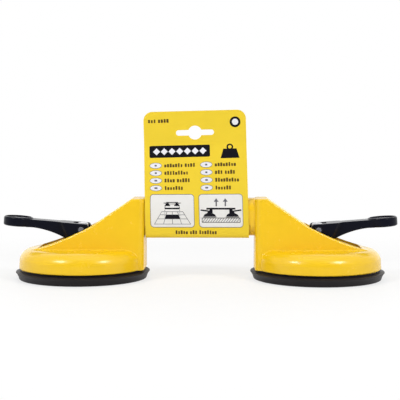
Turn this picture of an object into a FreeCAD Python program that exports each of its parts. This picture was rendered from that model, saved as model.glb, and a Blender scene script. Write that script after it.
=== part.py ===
"""Double suction lifter for floor tiles and glass, with two lever-operated suction pads.

A moulded frame joins two round pad housings by a bridge handle. In each housing a draw stud passes
through a guide bush. A steel plate on its lower end is bonded into a rubber suction pad, and a cam
lever turns on a pin through its upper end. Swinging the lever down draws the stud and the middle of
the pad up, while the housing's rim holds the pad's edge against the tile.

Row frame, in millimetres: +X along the handle, +Z up, origin on the tile surface midway between the
pads. Pieces are modelled for the right-hand (+X) housing and mirrored in the YZ plane for the left.
"""

import math
import os

import FreeCAD
import Part

V = FreeCAD.Vector
UP = V(0, 0, 1)
DEPTH = V(0, 1, 0)

# ---------------------------------------------------------------- driving dimensions
# Layout
pad_spacing = 210.8           # between the two pad axes
hand_gap = 98.0               # clear length of the handle between the housings
touch_gap = 0.3               # left between soft or loose pieces that only lie against each other
cut_over = 5.0                # how far a cutting tool runs past the face it cuts

# Frame moulding: round housing
shell_radius = 57.0
shell_bottom_z = 9.3
shell_top_z = 27.0
shell_round = 11.0
shell_draft = 0.4             # the wall leans in by this much from its foot to the rounding
shell_wall = 4.5
shell_roof = 4.5
shell_foot_round = 0.8

# Frame moulding: tower between housing and handle
tower_width = 44.0             # where the tower leaves the housing's top
tower_top_width = 36.0
tower_top_z = 72.0
tower_top_length = 11.0
tower_wall = 3.5
tower_corner = 6.0
tower_edge = 1.5
knee_inset = 11.9             # the slope's knee lies this far inside the pad axis
knee_z = 49.2
toe_reach = 43.0              # the slope meets the housing's top this far outside the pad axis
slope_sag = 1.8
crease_round = 1.2

# Lever pocket and cam seat in the tower
pocket_width = 35.0
pocket_inset = 11.3
pocket_reach = 38.6
pocket_corner = 3.0
pocket_floor_z = 25.5
seat_top_z = 30.0
seat_reach = 14.4
seat_width = 27.0

# Guide boss and ribs under the housing's roof
boss_radius = 10.5
boss_bottom_z = 19.0
rib_count = 8
rib_thickness = 2.4
rib_bottom_z = 17.0

# Handle
handle_depth = 29.0
handle_bottom_z = 38.5
handle_corner = 11.0
handle_wall = 3.5
handle_flare = 3.0            # radius where the handle runs out into the tower
flare_steps = 4

# Handle cover, the lower half-shell of the handle
cover_top_z = 49.0
cover_end_gap = 1.5           # between the cover's end and the start of the flare
cover_fit = 0.15
cover_lip_height = 3.0
cover_lip_thickness = 1.4

# Screws of the handle cover
cover_screw_spacing = 60.0
cover_screw_radius = 2.0
cover_screw_length = 20.0
cover_screw_head_radius = 3.8
cover_screw_head_height = 1.8
cover_screw_sink = 0.4        # the head lies this far inside the cover
cover_boss_radius = 4.5
screw_slack = 0.25            # radial clearance of a screw in a through hole
drive_depth = 0.9             # depth of a screw's cross recess

# Draw stud, pin and clips
stud_radius = 5.0
pin_z = 44.0
pin_radius = 2.5
pin_run_clearance = 0.05
pin_half_length = 13.4
eye_height = 5.6              # from the pin axis to the top of the stud
clip_radius = 3.6
clip_thickness = 0.8
clip_gap = 0.3

# Cam lever
stud_stroke = 6.0             # lift of the pad's middle
lever_travel_deg = 95.0
lever_rise_deg = 4.6          # the closed lever rises this much towards its tip
lever_width = 23.0            # over the two cam cheeks
fork_gap = 11.2
fork_depth = 8.0              # from the pin axis to the web between the cheeks
lever_top = 5.2               # from the pin axis to the lever's upper face
cam_reach = 12.4              # flat of the cam, outwards from the pin axis
shoulder_top = 22.0
shoulder_bevel = 3.4          # the cheeks slope in to the arm over this much
heel_round = 2.6              # rounding between the lever's top and its heel
arm_width = 15.5
arm_joint_drop = 9.0          # the arm's lower edge meets the cheeks this far below the pin axis
arm_joint_reach = 14.6
arm_sag = 1.6                 # how far the arm's lower edge bows up from a straight line
paddle_radius = 13.1
paddle_reach = 58.6           # from the pin axis to the paddle's centre
paddle_fillet = 8.0           # hollow radius where the arm widens into the paddle
paddle_top = 6.4
paddle_bottom = -1.8
dish_radius = 11.4
dish_depth = 1.2
lever_edge = 0.8
core_wall = 2.6               # skin left by the channel under the arm
core_start = 16.0
core_end = 43.0
core_rib = 1.8

# Wear plate under the cams, with its countersunk screws
wear_plate_thickness = 1.5
wear_plate_corner = 3.0
wear_plate_margin = 0.4
stud_hole_slack = 0.5
plate_screw_head_radius = 2.2
plate_screw_head_height = 1.2
plate_screw_radius = 1.2
plate_screw_length = 5.5
plate_screw_rim = 0.4         # left between a screw's head and the plate's inner end
plate_screw_toe = 2.2         # left between a screw's head and the plate's outer end

# Guide bush
bush_wall = 1.2
bush_run_clearance = 0.06
bush_flange_gap = 0.2         # between the flange and the nearest screw
bush_flange_thickness = 1.2

# Pad plate, stud nut
plate_radius = 22.0
plate_bottom_z = 10.5
plate_thickness = 3.0
plate_edge = 0.6
nut_across_flats = 17.0
nut_height = 4.6
nut_bevel = 0.8

# Suction pad
pad_radius = 60.0
pad_tip_z = 6.2
pad_foot_radius = 57.2        # outer edge of the sealing face
pad_foot_inner = 51.0
pad_shoulder_radius = 57.4
pad_shoulder_z = 7.3
pad_neck_radius = 54.6        # the rim above the shoulder, set back under the housing
pad_top_z = 9.0
pad_web = 3.2                 # thickness of the flexible part
pad_dome_radius = 25.0
pad_hub_radius = 26.0
pad_ring_height = 0.7         # grip rings under the pad
pad_ring_width = 1.2
pad_ring_radii = (8.0, 14.0, 20.0)

# Retail card folded round the handle
card_width = 91.5
card_thickness = 0.6
card_slack = 0.7              # the card hangs this loosely round the handle
card_bend = 2.5               # inner radius of the two creases under the handle
card_top_z = 150.0
card_fold_z = 120.0           # above this the two leaves are glued together
card_leave_z = 62.0           # below this the leaves lie along the handle
card_lean_deg = 1.4
card_shift = -2.0             # middle of the card along the handle, at the handle's underside
card_corner = 8.0
slot_length = 34.0
slot_height = 5.0
slot_eye_radius = 6.3
slot_drop = 19.5              # from the card's top edge to the middle of the slot

# ---------------------------------------------------------------- values worked out from them
pad_x = pad_spacing / 2
tower_x = hand_gap / 2
tower_half = tower_width / 2
tower_top_half = tower_top_width / 2
tower_end_x = tower_x + tower_top_length
knee_x = pad_x - knee_inset
toe_x = pad_x + toe_reach
roof_z = shell_top_z - shell_roof
seat_z = seat_top_z + wear_plate_thickness
cam_lift = pin_z - seat_z - touch_gap           # from the pin axis to the flat of the cam
cam_base = stud_stroke / math.radians(lever_travel_deg)   # base circle of the cam's involute
plate_screw_inner = pocket_inset - wear_plate_margin - plate_screw_head_radius - plate_screw_rim
plate_screw_outer = seat_reach - wear_plate_margin - plate_screw_head_radius - plate_screw_toe
bush_radius = stud_radius + bush_run_clearance + bush_wall
bush_flange_radius = plate_screw_inner - plate_screw_radius - bush_flange_gap
plate_top_z = plate_bottom_z + plate_thickness
handle_half = handle_depth / 2
flare_x = tower_x - handle_flare
cover_half_length = flare_x - cover_end_gap


# ---------------------------------------------------------------- helpers
def polyline_face(points):
    """A flat face inside straight edges."""
    return Part.Face(Part.makePolygon(list(points) + [points[0]]))


def edge_loop_face(edges):
    return Part.Face(Part.Wire(Part.__sortEdges__(edges)))


def line(a, b):
    return Part.LineSegment(a, b).toShape()


def arc(a, through, b):
    return Part.Arc(a, through, b).toShape()


def rounded_corner(before, corner, after, radius):
    """The arc that rounds a corner between two straight lines, and where it starts and ends."""
    back = (before - corner).normalize()
    on = (after - corner).normalize()
    half_angle = back.getAngle(on) / 2
    middle = (back + on).normalize()
    centre = corner + middle * (radius / math.sin(half_angle))
    start = corner + back * (radius / math.tan(half_angle))
    end = corner + on * (radius / math.tan(half_angle))
    return start, arc(start, centre - middle * radius, end), end


def side_extrude(face, width):
    """Extrudes a face drawn in the XZ plane evenly to both sides of it."""
    moved = face.copy()
    moved.translate(DEPTH * (-width / 2))
    return moved.extrude(DEPTH * width)


def cylinder(radius, low_z, high_z, x=0.0, y=0.0):
    return Part.makeCylinder(radius, high_z - low_z, V(x, y, low_z), UP)


def cross_cylinder(radius, low_y, high_y, x, z):
    return Part.makeCylinder(radius, high_y - low_y, V(x, low_y, z), DEPTH)


def rounded_block(x0, x1, width, z0, z1, radius):
    """A block centred on the XZ plane, with its four upright edges rounded."""
    block = Part.makeBox(x1 - x0, width, z1 - z0, V(x0, -width / 2, z0))
    upright = [e for e in block.Edges if abs(e.tangentAt(e.FirstParameter).z) > 0.9]
    return block.makeFillet(radius, upright)


def revolved(points, x):
    """Turns a profile of (radius, z) points about the upright axis through x."""
    face = polyline_face([V(x + r, 0, z) for r, z in points])
    return face.revolve(V(x, 0, 0), UP, 360)


def mirrored(shape):
    return shape.mirror(V(0, 0, 0), V(1, 0, 0))


def edges_where(shape, test):
    return [e for e in shape.Edges if test(e)]


def edge_box(edge):
    return edge.BoundBox


# ---------------------------------------------------------------- frame moulding
def housing_shell(inset, low_z, high_z, rounding):
    """The round housing, or with an inset the hollow under it."""
    foot = shell_radius - inset
    wall = foot - shell_draft
    bend = high_z - rounding
    across = rounding * math.sqrt(0.5)
    mid = V(pad_x + wall - rounding + across, 0, bend + across)
    heel = V(pad_x + foot - shell_foot_round, 0, low_z)
    ankle = V(pad_x + foot, 0, low_z + shell_foot_round)
    turn = shell_foot_round * math.sqrt(0.5)
    between = V(heel.x + turn, 0, ankle.z - turn)
    edges = [
        line(V(pad_x, 0, low_z), heel),
        arc(heel, between, ankle),
        line(ankle, V(pad_x + wall, 0, bend)),
        arc(V(pad_x + wall, 0, bend), mid, V(pad_x + wall - rounding, 0, high_z)),
        line(V(pad_x + wall - rounding, 0, high_z), V(pad_x, 0, high_z)),
        line(V(pad_x, 0, high_z), V(pad_x, 0, low_z)),
    ]
    return edge_loop_face(edges).revolve(V(pad_x, 0, 0), UP, 360)


def tower_outline():
    """Side view of the tower: upright inner end, short flat top, straight slope, hollow rim."""
    top_in = V(tower_x, 0, tower_top_z)
    top_out = V(tower_end_x, 0, tower_top_z)
    knee = V(knee_x, 0, knee_z)
    toe = V(toe_x, 0, shell_top_z)
    chord = toe - knee
    droop = V(chord.z, 0, -chord.x).normalize() * slope_sag
    belly = (knee + toe) * 0.5 + droop
    foot_z = (shell_bottom_z + roof_z) / 2
    inner_foot = V(tower_x, 0, shell_bottom_z)
    mid_foot = V(pad_x, 0, shell_bottom_z)
    toe_foot = V(toe_x, 0, foot_z)
    return edge_loop_face([
        line(inner_foot, top_in),
        line(top_in, top_out),
        line(top_out, knee),
        arc(knee, belly, toe),
        line(toe, toe_foot),
        line(toe_foot, mid_foot),
        line(mid_foot, inner_foot),
    ])


def tower_taper(inset):
    """Wedge that leans the tower's sides in, for its outside or, with an inset, for its hollow."""
    lean = (tower_half - tower_top_half) / (tower_top_z - shell_top_z)
    foot_half = tower_half + lean * (shell_top_z - shell_bottom_z) - inset
    top_half = tower_top_half - inset
    section = polyline_face([
        V(0, -foot_half, shell_bottom_z),
        V(0, foot_half, shell_bottom_z),
        V(0, top_half, tower_top_z),
        V(0, -top_half, tower_top_z),
    ])
    return section.extrude(V(toe_x + cut_over, 0, 0))


def tower():
    block = side_extrude(tower_outline(), 2 * tower_width).common(tower_taper(0))
    inner_corners = edges_where(
        block, lambda e: edge_box(e).XMax < tower_x + 0.1 and edge_box(e).ZLength > 1)
    block = block.makeFillet(tower_corner, inner_corners)
    rim = edges_where(
        block, lambda e: edge_box(e).ZMin > shell_top_z - 0.1 and edge_box(e).YLength < tower_corner + 1
        and edge_box(e).XLength > 1)
    return block.makeFillet(tower_edge, rim)


def tower_hollow():
    """The space inside the tower, open to the housing below."""
    run = V(knee_x - tower_end_x, 0, knee_z - tower_top_z).normalize()
    inward = V(run.z, 0, -run.x)
    start = V(tower_end_x, 0, tower_top_z) + inward * tower_wall
    ceiling_z = tower_top_z - tower_wall
    inner_x = tower_x + tower_wall
    outer_x = pad_x - pocket_inset - tower_wall
    slope_start = start + run * ((ceiling_z - start.z) / run.z)
    slope_end = start + run * ((outer_x - start.x) / run.x)
    low_z = roof_z - cut_over
    profile = polyline_face([
        V(inner_x, 0, low_z),
        V(inner_x, 0, ceiling_z),
        slope_start,
        slope_end,
        V(outer_x, 0, low_z),
    ])
    return side_extrude(profile, tower_width).common(tower_taper(tower_wall))


def handle_section(x, growth, wall):
    """The handle's cross-section at x. Growth widens it at its roots; wall shrinks it to the bore."""
    half = handle_half + growth - wall
    low = handle_bottom_z - growth + wall
    high = tower_top_z - wall
    radius = handle_corner + growth - wall
    slant = radius * (1 - math.sqrt(0.5))
    corners = [(1, high), (1, low), (-1, low), (-1, high)]
    edges = []
    joints = []
    for side, z in corners:
        inward_z = -radius if z == high else radius
        on_side = V(x, side * half, z + inward_z)
        on_flat = V(x, side * (half - radius), z)
        middle = V(x, side * (half - slant), z + math.copysign(slant, inward_z))
        edges.append(arc(on_side, middle, on_flat))
        joints.append((on_side, on_flat))
    edges.append(line(joints[0][0], joints[1][0]))
    edges.append(line(joints[1][1], joints[2][1]))
    edges.append(line(joints[2][0], joints[3][0]))
    edges.append(line(joints[3][1], joints[0][1]))
    return Part.Wire(Part.__sortEdges__(edges))


def handle_bar():
    """The handle's outer form, running a little way into both towers, with flared roots."""
    reach = tower_x + tower_top_length / 2
    bar = Part.Face(handle_section(-reach, 0, 0)).extrude(V(2 * reach, 0, 0))
    sections = []
    for step in range(flare_steps + 1):
        turn = math.radians(90.0 * step / flare_steps)
        x = flare_x + handle_flare * math.sin(turn)
        sections.append(handle_section(x, handle_flare * (1 - math.cos(turn)), 0))
    flare = Part.makeLoft(sections, True)
    root = Part.Face(handle_section(tower_x, handle_flare, 0)).extrude(V(tower_corner, 0, 0))
    flare = flare.fuse(root)
    return bar.fuse([flare, mirrored(flare)])


def handle_bore():
    reach = tower_x + tower_wall + cut_over
    return Part.Face(handle_section(-reach, 0, handle_wall)).extrude(V(2 * reach, 0, 0))


def rib_star():
    """Radial ribs that carry the guide boss."""
    length = shell_radius - shell_wall / 2
    ribs = []
    for index in range(rib_count):
        rib = Part.makeBox(
            length, rib_thickness, roof_z + 0.5 - rib_bottom_z,
            V(pad_x, -rib_thickness / 2, rib_bottom_z))
        rib.rotate(V(pad_x, 0, 0), UP, 360.0 * (index + 0.5) / rib_count)
        ribs.append(rib)
    nut_room = cylinder(boss_radius, rib_bottom_z - 1, boss_bottom_z, pad_x)
    star = ribs[0].fuse(ribs[1:]).cut(nut_room)
    return star.common(housing_shell(shell_wall / 2, rib_bottom_z, roof_z + 1, shell_round / 2))


def frame_half():
    """One housing with its tower, hollowed, and with the seat for the cam."""
    outer = housing_shell(0, shell_bottom_z, shell_top_z, shell_round)
    outer = outer.fuse(tower()).removeSplitter()
    crease = edges_where(
        outer, lambda e: abs(edge_box(e).ZMin - shell_top_z) < 0.01 and edge_box(e).ZLength < 0.01
        and edge_box(e).YLength < 0.01 and edge_box(e).XLength > tower_half)
    return outer.makeFillet(crease_round, crease)


def frame_hollow():
    hollow = housing_shell(shell_wall, shell_bottom_z - cut_over, roof_z, shell_round - shell_wall)
    return hollow.fuse(tower_hollow())


def lever_pocket():
    return rounded_block(
        pad_x - pocket_inset, pad_x + pocket_reach, pocket_width,
        pocket_floor_z, tower_top_z + cut_over, pocket_corner)


def cam_seat():
    return rounded_block(
        pad_x - pocket_inset - 1, pad_x + seat_reach, seat_width,
        roof_z + 0.5, seat_top_z, wear_plate_corner)


def stud_passage():
    """The bush's seat through the boss, with its flange recess in the seat's top."""
    hole = cylinder(bush_radius, boss_bottom_z - cut_over, seat_top_z + cut_over, pad_x)
    recess = cylinder(
        bush_flange_radius, seat_top_z - bush_flange_thickness, seat_top_z + cut_over, pad_x)
    return hole.fuse(recess)


def plate_screw_places():
    return [pad_x + plate_screw_outer, pad_x - plate_screw_inner]


def cover_screw_places():
    return [-cover_screw_spacing / 2, cover_screw_spacing / 2]


def frame_moulding():
    half = frame_half()
    body = half.fuse([mirrored(half), handle_bar()]).removeSplitter()
    hollow = frame_hollow()
    body = body.cut([hollow, mirrored(hollow), handle_bore()])

    inside = rib_star().fuse(cylinder(boss_radius, boss_bottom_z, roof_z + 1, pad_x))
    pocket = lever_pocket()
    seat = cam_seat()
    passage = stud_passage()
    for x in plate_screw_places():
        pilot_low = seat_z - plate_screw_length
        passage = passage.fuse(cylinder(plate_screw_radius, pilot_low, seat_top_z + cut_over, x))
    body = body.fuse([inside, mirrored(inside)])
    body = body.cut([pocket, mirrored(pocket)])
    body = body.fuse([seat, mirrored(seat)])
    body = body.cut([passage, mirrored(passage)])

    mouth = Part.makeBox(
        2 * (cover_half_length + cover_fit), handle_depth + 2 * cut_over,
        cover_top_z - handle_bottom_z + cut_over,
        V(-cover_half_length - cover_fit, -handle_half - cut_over, handle_bottom_z - cut_over))
    body = body.cut(mouth)
    shank_low = handle_bottom_z + cover_screw_sink + cover_screw_head_height
    for x in cover_screw_places():
        boss = cylinder(cover_boss_radius, cover_top_z, tower_top_z - handle_wall + 1, x)
        pilot = cylinder(cover_screw_radius, cover_top_z - 1, shank_low + cover_screw_length + 1, x)
        body = body.fuse(boss).cut(pilot)
    return body


# ---------------------------------------------------------------- handle cover and screws
def handle_cover():
    length = 2 * cover_half_length
    start = -cover_half_length
    shell = Part.Face(handle_section(start, 0, 0)).extrude(V(length, 0, 0))
    bore = Part.Face(handle_section(start - 1, 0, handle_wall)).extrude(V(length + 2, 0, 0))
    upper = Part.makeBox(
        length + 2, handle_depth + 2, tower_top_z, V(start - 1, -handle_half - 1, cover_top_z - cover_fit))
    cover = shell.cut(bore).cut(upper)
    bore_half = handle_half - handle_wall
    lips = []
    for side in (-1, 1):
        outer_y = side * (bore_half - cover_fit)
        inner_y = side * (bore_half - cover_fit - cover_lip_thickness)
        root_y = side * (bore_half + 0.5)
        tongue = Part.makeBox(
            length, cover_lip_thickness, 2 * cover_lip_height,
            V(start, min(outer_y, inner_y), cover_top_z - cover_lip_height))
        ledge = Part.makeBox(
            length, abs(root_y - inner_y), cover_lip_height - cover_fit,
            V(start, min(root_y, inner_y), cover_top_z - cover_lip_height))
        lips += [tongue, ledge]
    cover = cover.fuse(lips)
    for x in cover_screw_places():
        cover = cover.fuse(
            cylinder(cover_boss_radius, handle_bottom_z + 1, cover_top_z - cover_fit, x))
        head_z = handle_bottom_z + cover_screw_sink + cover_screw_head_height
        sink = cylinder(
            cover_screw_head_radius + screw_slack, handle_bottom_z - cut_over, head_z, x)
        hole = cylinder(cover_screw_radius + screw_slack, handle_bottom_z, cover_top_z + cut_over, x)
        cover = cover.cut([sink, hole])
    return cover.removeSplitter()


def cross_recess(x, z, arm, depth):
    """A cross-head recess, cut upwards into a head whose face lies at z."""
    width = arm / 3
    bars = []
    for dx, dy in ((arm, width), (width, arm)):
        bars.append(Part.makeBox(2 * dx, 2 * dy, depth + 1, V(x - dx, -dy, z - 1)))
    return bars[0].fuse(bars[1])


def cover_screws():
    screws = []
    head_low = handle_bottom_z + cover_screw_sink
    head_high = head_low + cover_screw_head_height
    for x in cover_screw_places():
        screw = cylinder(cover_screw_head_radius, head_low, head_high, x)
        screw = screw.fuse(cylinder(cover_screw_radius, head_high - 0.1, head_high + cover_screw_length, x))
        screws.append(screw.cut(cross_recess(x, head_low, cover_screw_head_radius * 0.55, drive_depth)))
    return Part.makeCompound(screws)


# ---------------------------------------------------------------- cam lever
def cam_point(turn, pull):
    """A point of the cam's involute, in the lever's plane, about the pin axis.

    After a turn the flat seat touches the cam at this point, and the pin stands
    cam_lift - cam_base * turn above the seat, so the stud's travel follows the lever evenly.
    """
    height = cam_lift - cam_base * turn
    return V(
        pad_x - height * math.sin(turn) + pull * math.cos(turn), 0,
        pin_z - height * math.cos(turn) - pull * math.sin(turn))


def tilted(along, up):
    """A point given along and square to the closed lever, about the pin axis."""
    rise = math.radians(lever_rise_deg)
    return V(
        pad_x + along * math.cos(rise) - up * math.sin(rise), 0,
        pin_z + along * math.sin(rise) + up * math.cos(rise))


def cheek_outline():
    travel = math.radians(lever_travel_deg)
    steps = 8
    heel = [cam_point(travel * i / steps, cam_base) for i in range(steps + 1)]
    curve = Part.BSplineCurve()
    curve.interpolate(heel)
    end_turn = travel
    lie = V(-math.cos(end_turn), 0, math.sin(end_turn))
    back_top_up = lever_top
    rise = math.radians(lever_rise_deg)
    top_dir = V(-math.sin(rise), 0, math.cos(rise))
    origin = V(pad_x, 0, pin_z)
    run = (back_top_up - (heel[-1] - origin).dot(top_dir)) / lie.dot(top_dir)
    back_top = heel[-1] + lie * run
    shoulder = tilted(shoulder_top, lever_top)
    toe = V(pad_x + cam_reach, 0, pin_z - cam_lift)
    round_low, rounding, round_high = rounded_corner(heel[-1], back_top, shoulder, heel_round)
    return edge_loop_face([
        curve.toShape(),
        line(heel[-1], round_low),
        rounding,
        line(round_high, shoulder),
        line(shoulder, toe),
        line(toe, heel[0]),
    ])


def arm_outline():
    """Side view of the arm, from inside the cheeks to inside the paddle."""
    top_in = tilted(fork_depth, lever_top)
    top_out = tilted(paddle_reach, lever_top)
    low_out = tilted(paddle_reach, paddle_bottom)
    low_root = tilted(paddle_reach - paddle_radius, paddle_bottom)
    joint = tilted(arm_joint_reach, -arm_joint_drop)
    low_in = tilted(fork_depth, -arm_joint_drop)
    chord = low_root - joint
    bow = V(-chord.z, 0, chord.x).normalize() * arm_sag
    return edge_loop_face([
        line(top_in, top_out),
        line(top_out, low_out),
        line(low_out, low_root),
        arc(low_root, (low_root + joint) * 0.5 + bow, joint),
        line(joint, low_in),
        line(low_in, top_in),
    ])


def paddle_neck():
    """The arm widening into the paddle, with a hollow curve on each side."""
    half = arm_width / 2
    back = math.sqrt((paddle_radius + paddle_fillet) ** 2 - (half + paddle_fillet) ** 2)
    centre = V(-back, half + paddle_fillet, 0)
    start = V(-back, half, 0)
    end = centre * (paddle_radius / centre.Length)
    middle = V(centre.x, centre.y, 0) + (
        (start - centre).normalize() + (end - centre).normalize()).normalize() * paddle_fillet
    near = [V(v.x, -v.y, 0) for v in (start, middle, end)]
    plan = edge_loop_face([
        arc(start, middle, end),
        line(end, near[2]),
        arc(near[2], near[1], near[0]),
        line(near[0], start),
    ])
    plan.translate(V(0, 0, paddle_bottom))
    neck = plan.extrude(UP * (lever_top - paddle_bottom))
    neck.rotate(V(0, 0, 0), DEPTH, -lever_rise_deg)
    neck.translate(tilted(paddle_reach, 0))
    return neck


def paddle():
    disc = Part.makeCylinder(
        paddle_radius, paddle_top - paddle_bottom, V(0, 0, paddle_bottom), UP)
    disc = disc.makeFillet(2 * lever_edge, [e for e in disc.Edges if e.Length > paddle_radius])
    dish = Part.makeCylinder(dish_radius, dish_depth + 1, V(0, 0, paddle_top - dish_depth), UP)
    dish = dish.makeFillet(
        lever_edge, [e for e in dish.Edges if edge_box(e).ZMax < paddle_top - dish_depth + 0.01])
    disc = disc.cut(dish)
    centre = tilted(paddle_reach, 0)
    disc.rotate(V(0, 0, 0), DEPTH, -lever_rise_deg)
    disc.translate(centre)
    return disc


def arm_core():
    """The channel moulded into the arm's underside, with its cross ribs left standing."""
    width = arm_width - 2 * core_wall
    ceiling = lever_top - core_wall
    floor = -arm_joint_drop - cut_over
    bays = 3
    bay = (core_end - core_start - (bays - 1) * core_rib) / bays
    cuts = []
    for index in range(bays):
        start = core_start + index * (bay + core_rib)
        face = polyline_face([
            tilted(start, floor),
            tilted(start, ceiling),
            tilted(start + bay, ceiling),
            tilted(start + bay, floor),
        ])
        cuts.append(side_extrude(face, width))
    return cuts[0].fuse(cuts[1:])


def lever():
    cheeks = side_extrude(cheek_outline(), lever_width)
    shoulders = edges_where(
        cheeks, lambda e: edge_box(e).YLength < 0.01 and edge_box(e).XMax > pad_x + shoulder_top - 1
        and edge_box(e).ZLength > lever_top + cam_lift - 1)
    cheeks = cheeks.makeChamfer(shoulder_bevel, shoulders)
    long_edges = edges_where(
        cheeks, lambda e: edge_box(e).YLength < 0.01 and edge_box(e).ZMax > pin_z + lever_top - 1)
    cheeks = cheeks.makeFillet(lever_edge, long_edges)
    arm = side_extrude(arm_outline(), arm_width)
    arm_edges = edges_where(
        arm, lambda e: edge_box(e).YLength < 0.01 and edge_box(e).XLength > 10
        and edge_box(e).XMax > pad_x + core_end)
    arm = arm.makeFillet(lever_edge, arm_edges)
    body = arm.cut(arm_core()).fuse([cheeks, paddle_neck(), paddle()])
    fork = Part.makeBox(
        pocket_reach, fork_gap, 2 * cam_lift + lever_top,
        V(pad_x + fork_depth - pocket_reach, -fork_gap / 2, seat_z - cut_over))
    bore = cross_cylinder(
        pin_radius + pin_run_clearance, -lever_width, lever_width, pad_x, pin_z)
    return body.cut([fork, bore]).removeSplitter()


# ---------------------------------------------------------------- stud, pin and clips
def draw_stud():
    eye_start = pin_z + eye_height - stud_radius / 2
    stud = cylinder(stud_radius, plate_bottom_z, pin_z + eye_height, pad_x)
    crown = edges_where(stud, lambda e: edge_box(e).ZMin > eye_start)
    stud = stud.makeFillet(stud_radius / 2.5, crown[:1])
    return stud.cut(cross_cylinder(pin_radius, -stud_radius - 1, stud_radius + 1, pad_x, pin_z))


def pivot_pin():
    pin = cross_cylinder(pin_radius, -pin_half_length, pin_half_length, pad_x, pin_z)
    ends = edges_where(pin, lambda e: edge_box(e).YLength < 0.01 and e.Length > 2 * pin_radius)
    return pin.makeChamfer(pin_radius / 6, ends)


def pin_clips():
    """Two toothed spring washers that hold the pin endways."""
    clips = []
    for side in (-1, 1):
        near = side * (lever_width / 2 + clip_gap)
        far = near + side * clip_thickness
        low = min(near, far)
        clip = cross_cylinder(clip_radius, low, low + clip_thickness, pad_x, pin_z)
        clips.append(clip.cut(cross_cylinder(pin_radius, low - 1, low + clip_thickness + 1, pad_x, pin_z)))
    return Part.makeCompound(clips)


# ---------------------------------------------------------------- wear plate, its screws, bush
def wear_plate():
    plate = rounded_block(
        pad_x - pocket_inset + wear_plate_margin, pad_x + seat_reach - wear_plate_margin,
        seat_width - 2 * wear_plate_margin, seat_top_z, seat_z, wear_plate_corner)
    plate = plate.cut(
        cylinder(stud_radius + stud_hole_slack, seat_top_z - 1, seat_z + 1, pad_x))
    for x in plate_screw_places():
        plate = plate.cut(plate_screw(x, screw_slack / 2))
    return plate


def plate_screw(x, slack):
    """A countersunk screw, or with slack the hole it needs in the plate."""
    head_low = seat_z - plate_screw_head_height
    head = Part.makeCone(
        plate_screw_radius + slack, plate_screw_head_radius + slack,
        plate_screw_head_height, V(x, 0, head_low), UP)
    shank = cylinder(plate_screw_radius + slack, seat_z - plate_screw_length, head_low + 0.05, x)
    return head.fuse(shank)


def wear_plate_screws():
    screws = []
    for x in plate_screw_places():
        slot = Part.makeBox(
            2 * plate_screw_head_radius, plate_screw_head_radius / 3, 1,
            V(x - plate_screw_head_radius, -plate_screw_head_radius / 6,
              seat_z - plate_screw_head_height / 2))
        screws.append(plate_screw(x, 0).cut(slot))
    return Part.makeCompound(screws)


def guide_bush():
    bush = cylinder(bush_radius, boss_bottom_z, seat_top_z, pad_x)
    flange = cylinder(bush_flange_radius, seat_top_z - bush_flange_thickness, seat_top_z, pad_x)
    bore = cylinder(stud_radius + bush_run_clearance, boss_bottom_z - 1, seat_top_z + 1, pad_x)
    return bush.fuse(flange).cut(bore).removeSplitter()


# ---------------------------------------------------------------- pad plate, nut and pad
def pad_plate():
    plate = cylinder(plate_radius, plate_bottom_z, plate_top_z, pad_x)
    plate = plate.makeFillet(
        plate_edge, edges_where(plate, lambda e: edge_box(e).ZMin > plate_top_z - 0.01)[:1])
    return plate.cut(cylinder(stud_radius, plate_bottom_z - 1, plate_top_z + 1, pad_x))


def stud_nut():
    across_corners = nut_across_flats / math.cos(math.radians(30))
    corners = []
    for index in range(6):
        turn = math.radians(60 * index + 30)
        corners.append(V(
            pad_x + across_corners / 2 * math.cos(turn),
            across_corners / 2 * math.sin(turn), plate_top_z))
    nut = polyline_face(corners).extrude(UP * nut_height)
    cone_low = across_corners / 2 + nut_bevel * 3
    cone = Part.makeCone(
        cone_low, across_corners / 2 - nut_bevel, nut_height + 2.0, V(pad_x, 0, plate_top_z), UP)
    nut = nut.common(cone)
    return nut.cut(cylinder(stud_radius, plate_top_z - 1, plate_top_z + nut_height + 1, pad_x))


def suction_pad():
    """Rubber disc: thick rim with a sharp lip, thin flexible web, hub bonded round the plate."""
    recess_z = plate_bottom_z - touch_gap
    under_z = recess_z - pad_web
    roof_in = shell_radius - shell_wall
    profile = [
        (0, recess_z),
        (0, under_z),
        (pad_dome_radius, under_z),
        (pad_foot_inner, 0.6),
        (pad_foot_inner + 1.0, 0.0),
        (pad_foot_radius, 0.0),
        (pad_foot_radius + 0.6, 1.6),
        (pad_radius - 0.7, pad_tip_z - 1.6),
        (pad_radius, pad_tip_z),
        (pad_shoulder_radius, pad_shoulder_z),
        (pad_neck_radius, pad_shoulder_z + touch_gap),
        (pad_neck_radius, pad_top_z),
        (roof_in - 1.0, pad_top_z),
        (roof_in - 3.0, pad_web + 1.6),
        (pad_hub_radius + 3.0, under_z + pad_web),
        (pad_hub_radius, plate_top_z),
        (plate_radius + touch_gap, plate_top_z),
        (plate_radius + touch_gap, recess_z),
    ]
    pad = revolved(profile, pad_x)
    rings = []
    for radius in pad_ring_radii:
        ring = cylinder(radius + pad_ring_width / 2, under_z - pad_ring_height, under_z + 0.5, pad_x)
        rings.append(ring.cut(cylinder(radius - pad_ring_width / 2, 0, under_z + 1, pad_x)))
    return pad.fuse(rings).removeSplitter()


# ---------------------------------------------------------------- retail card
def card_leaf(side, offset):
    """One leaf's line in the YZ plane, from under the handle up to the fold, offset outwards."""
    reach = handle_half + card_slack + offset
    low = handle_bottom_z - card_slack - offset
    corner = card_bend + offset
    slant = corner * (1 - math.sqrt(0.5))
    under = V(0, side * (reach - corner), low)
    bend = V(0, side * (reach - slant), low + slant)
    upright = V(0, side * reach, low + corner)
    leave = V(0, side * reach, card_leave_z)
    fold = V(0, side * offset, card_fold_z)
    return [arc(under, bend, upright), line(upright, leave), line(leave, fold)], under, fold


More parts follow.
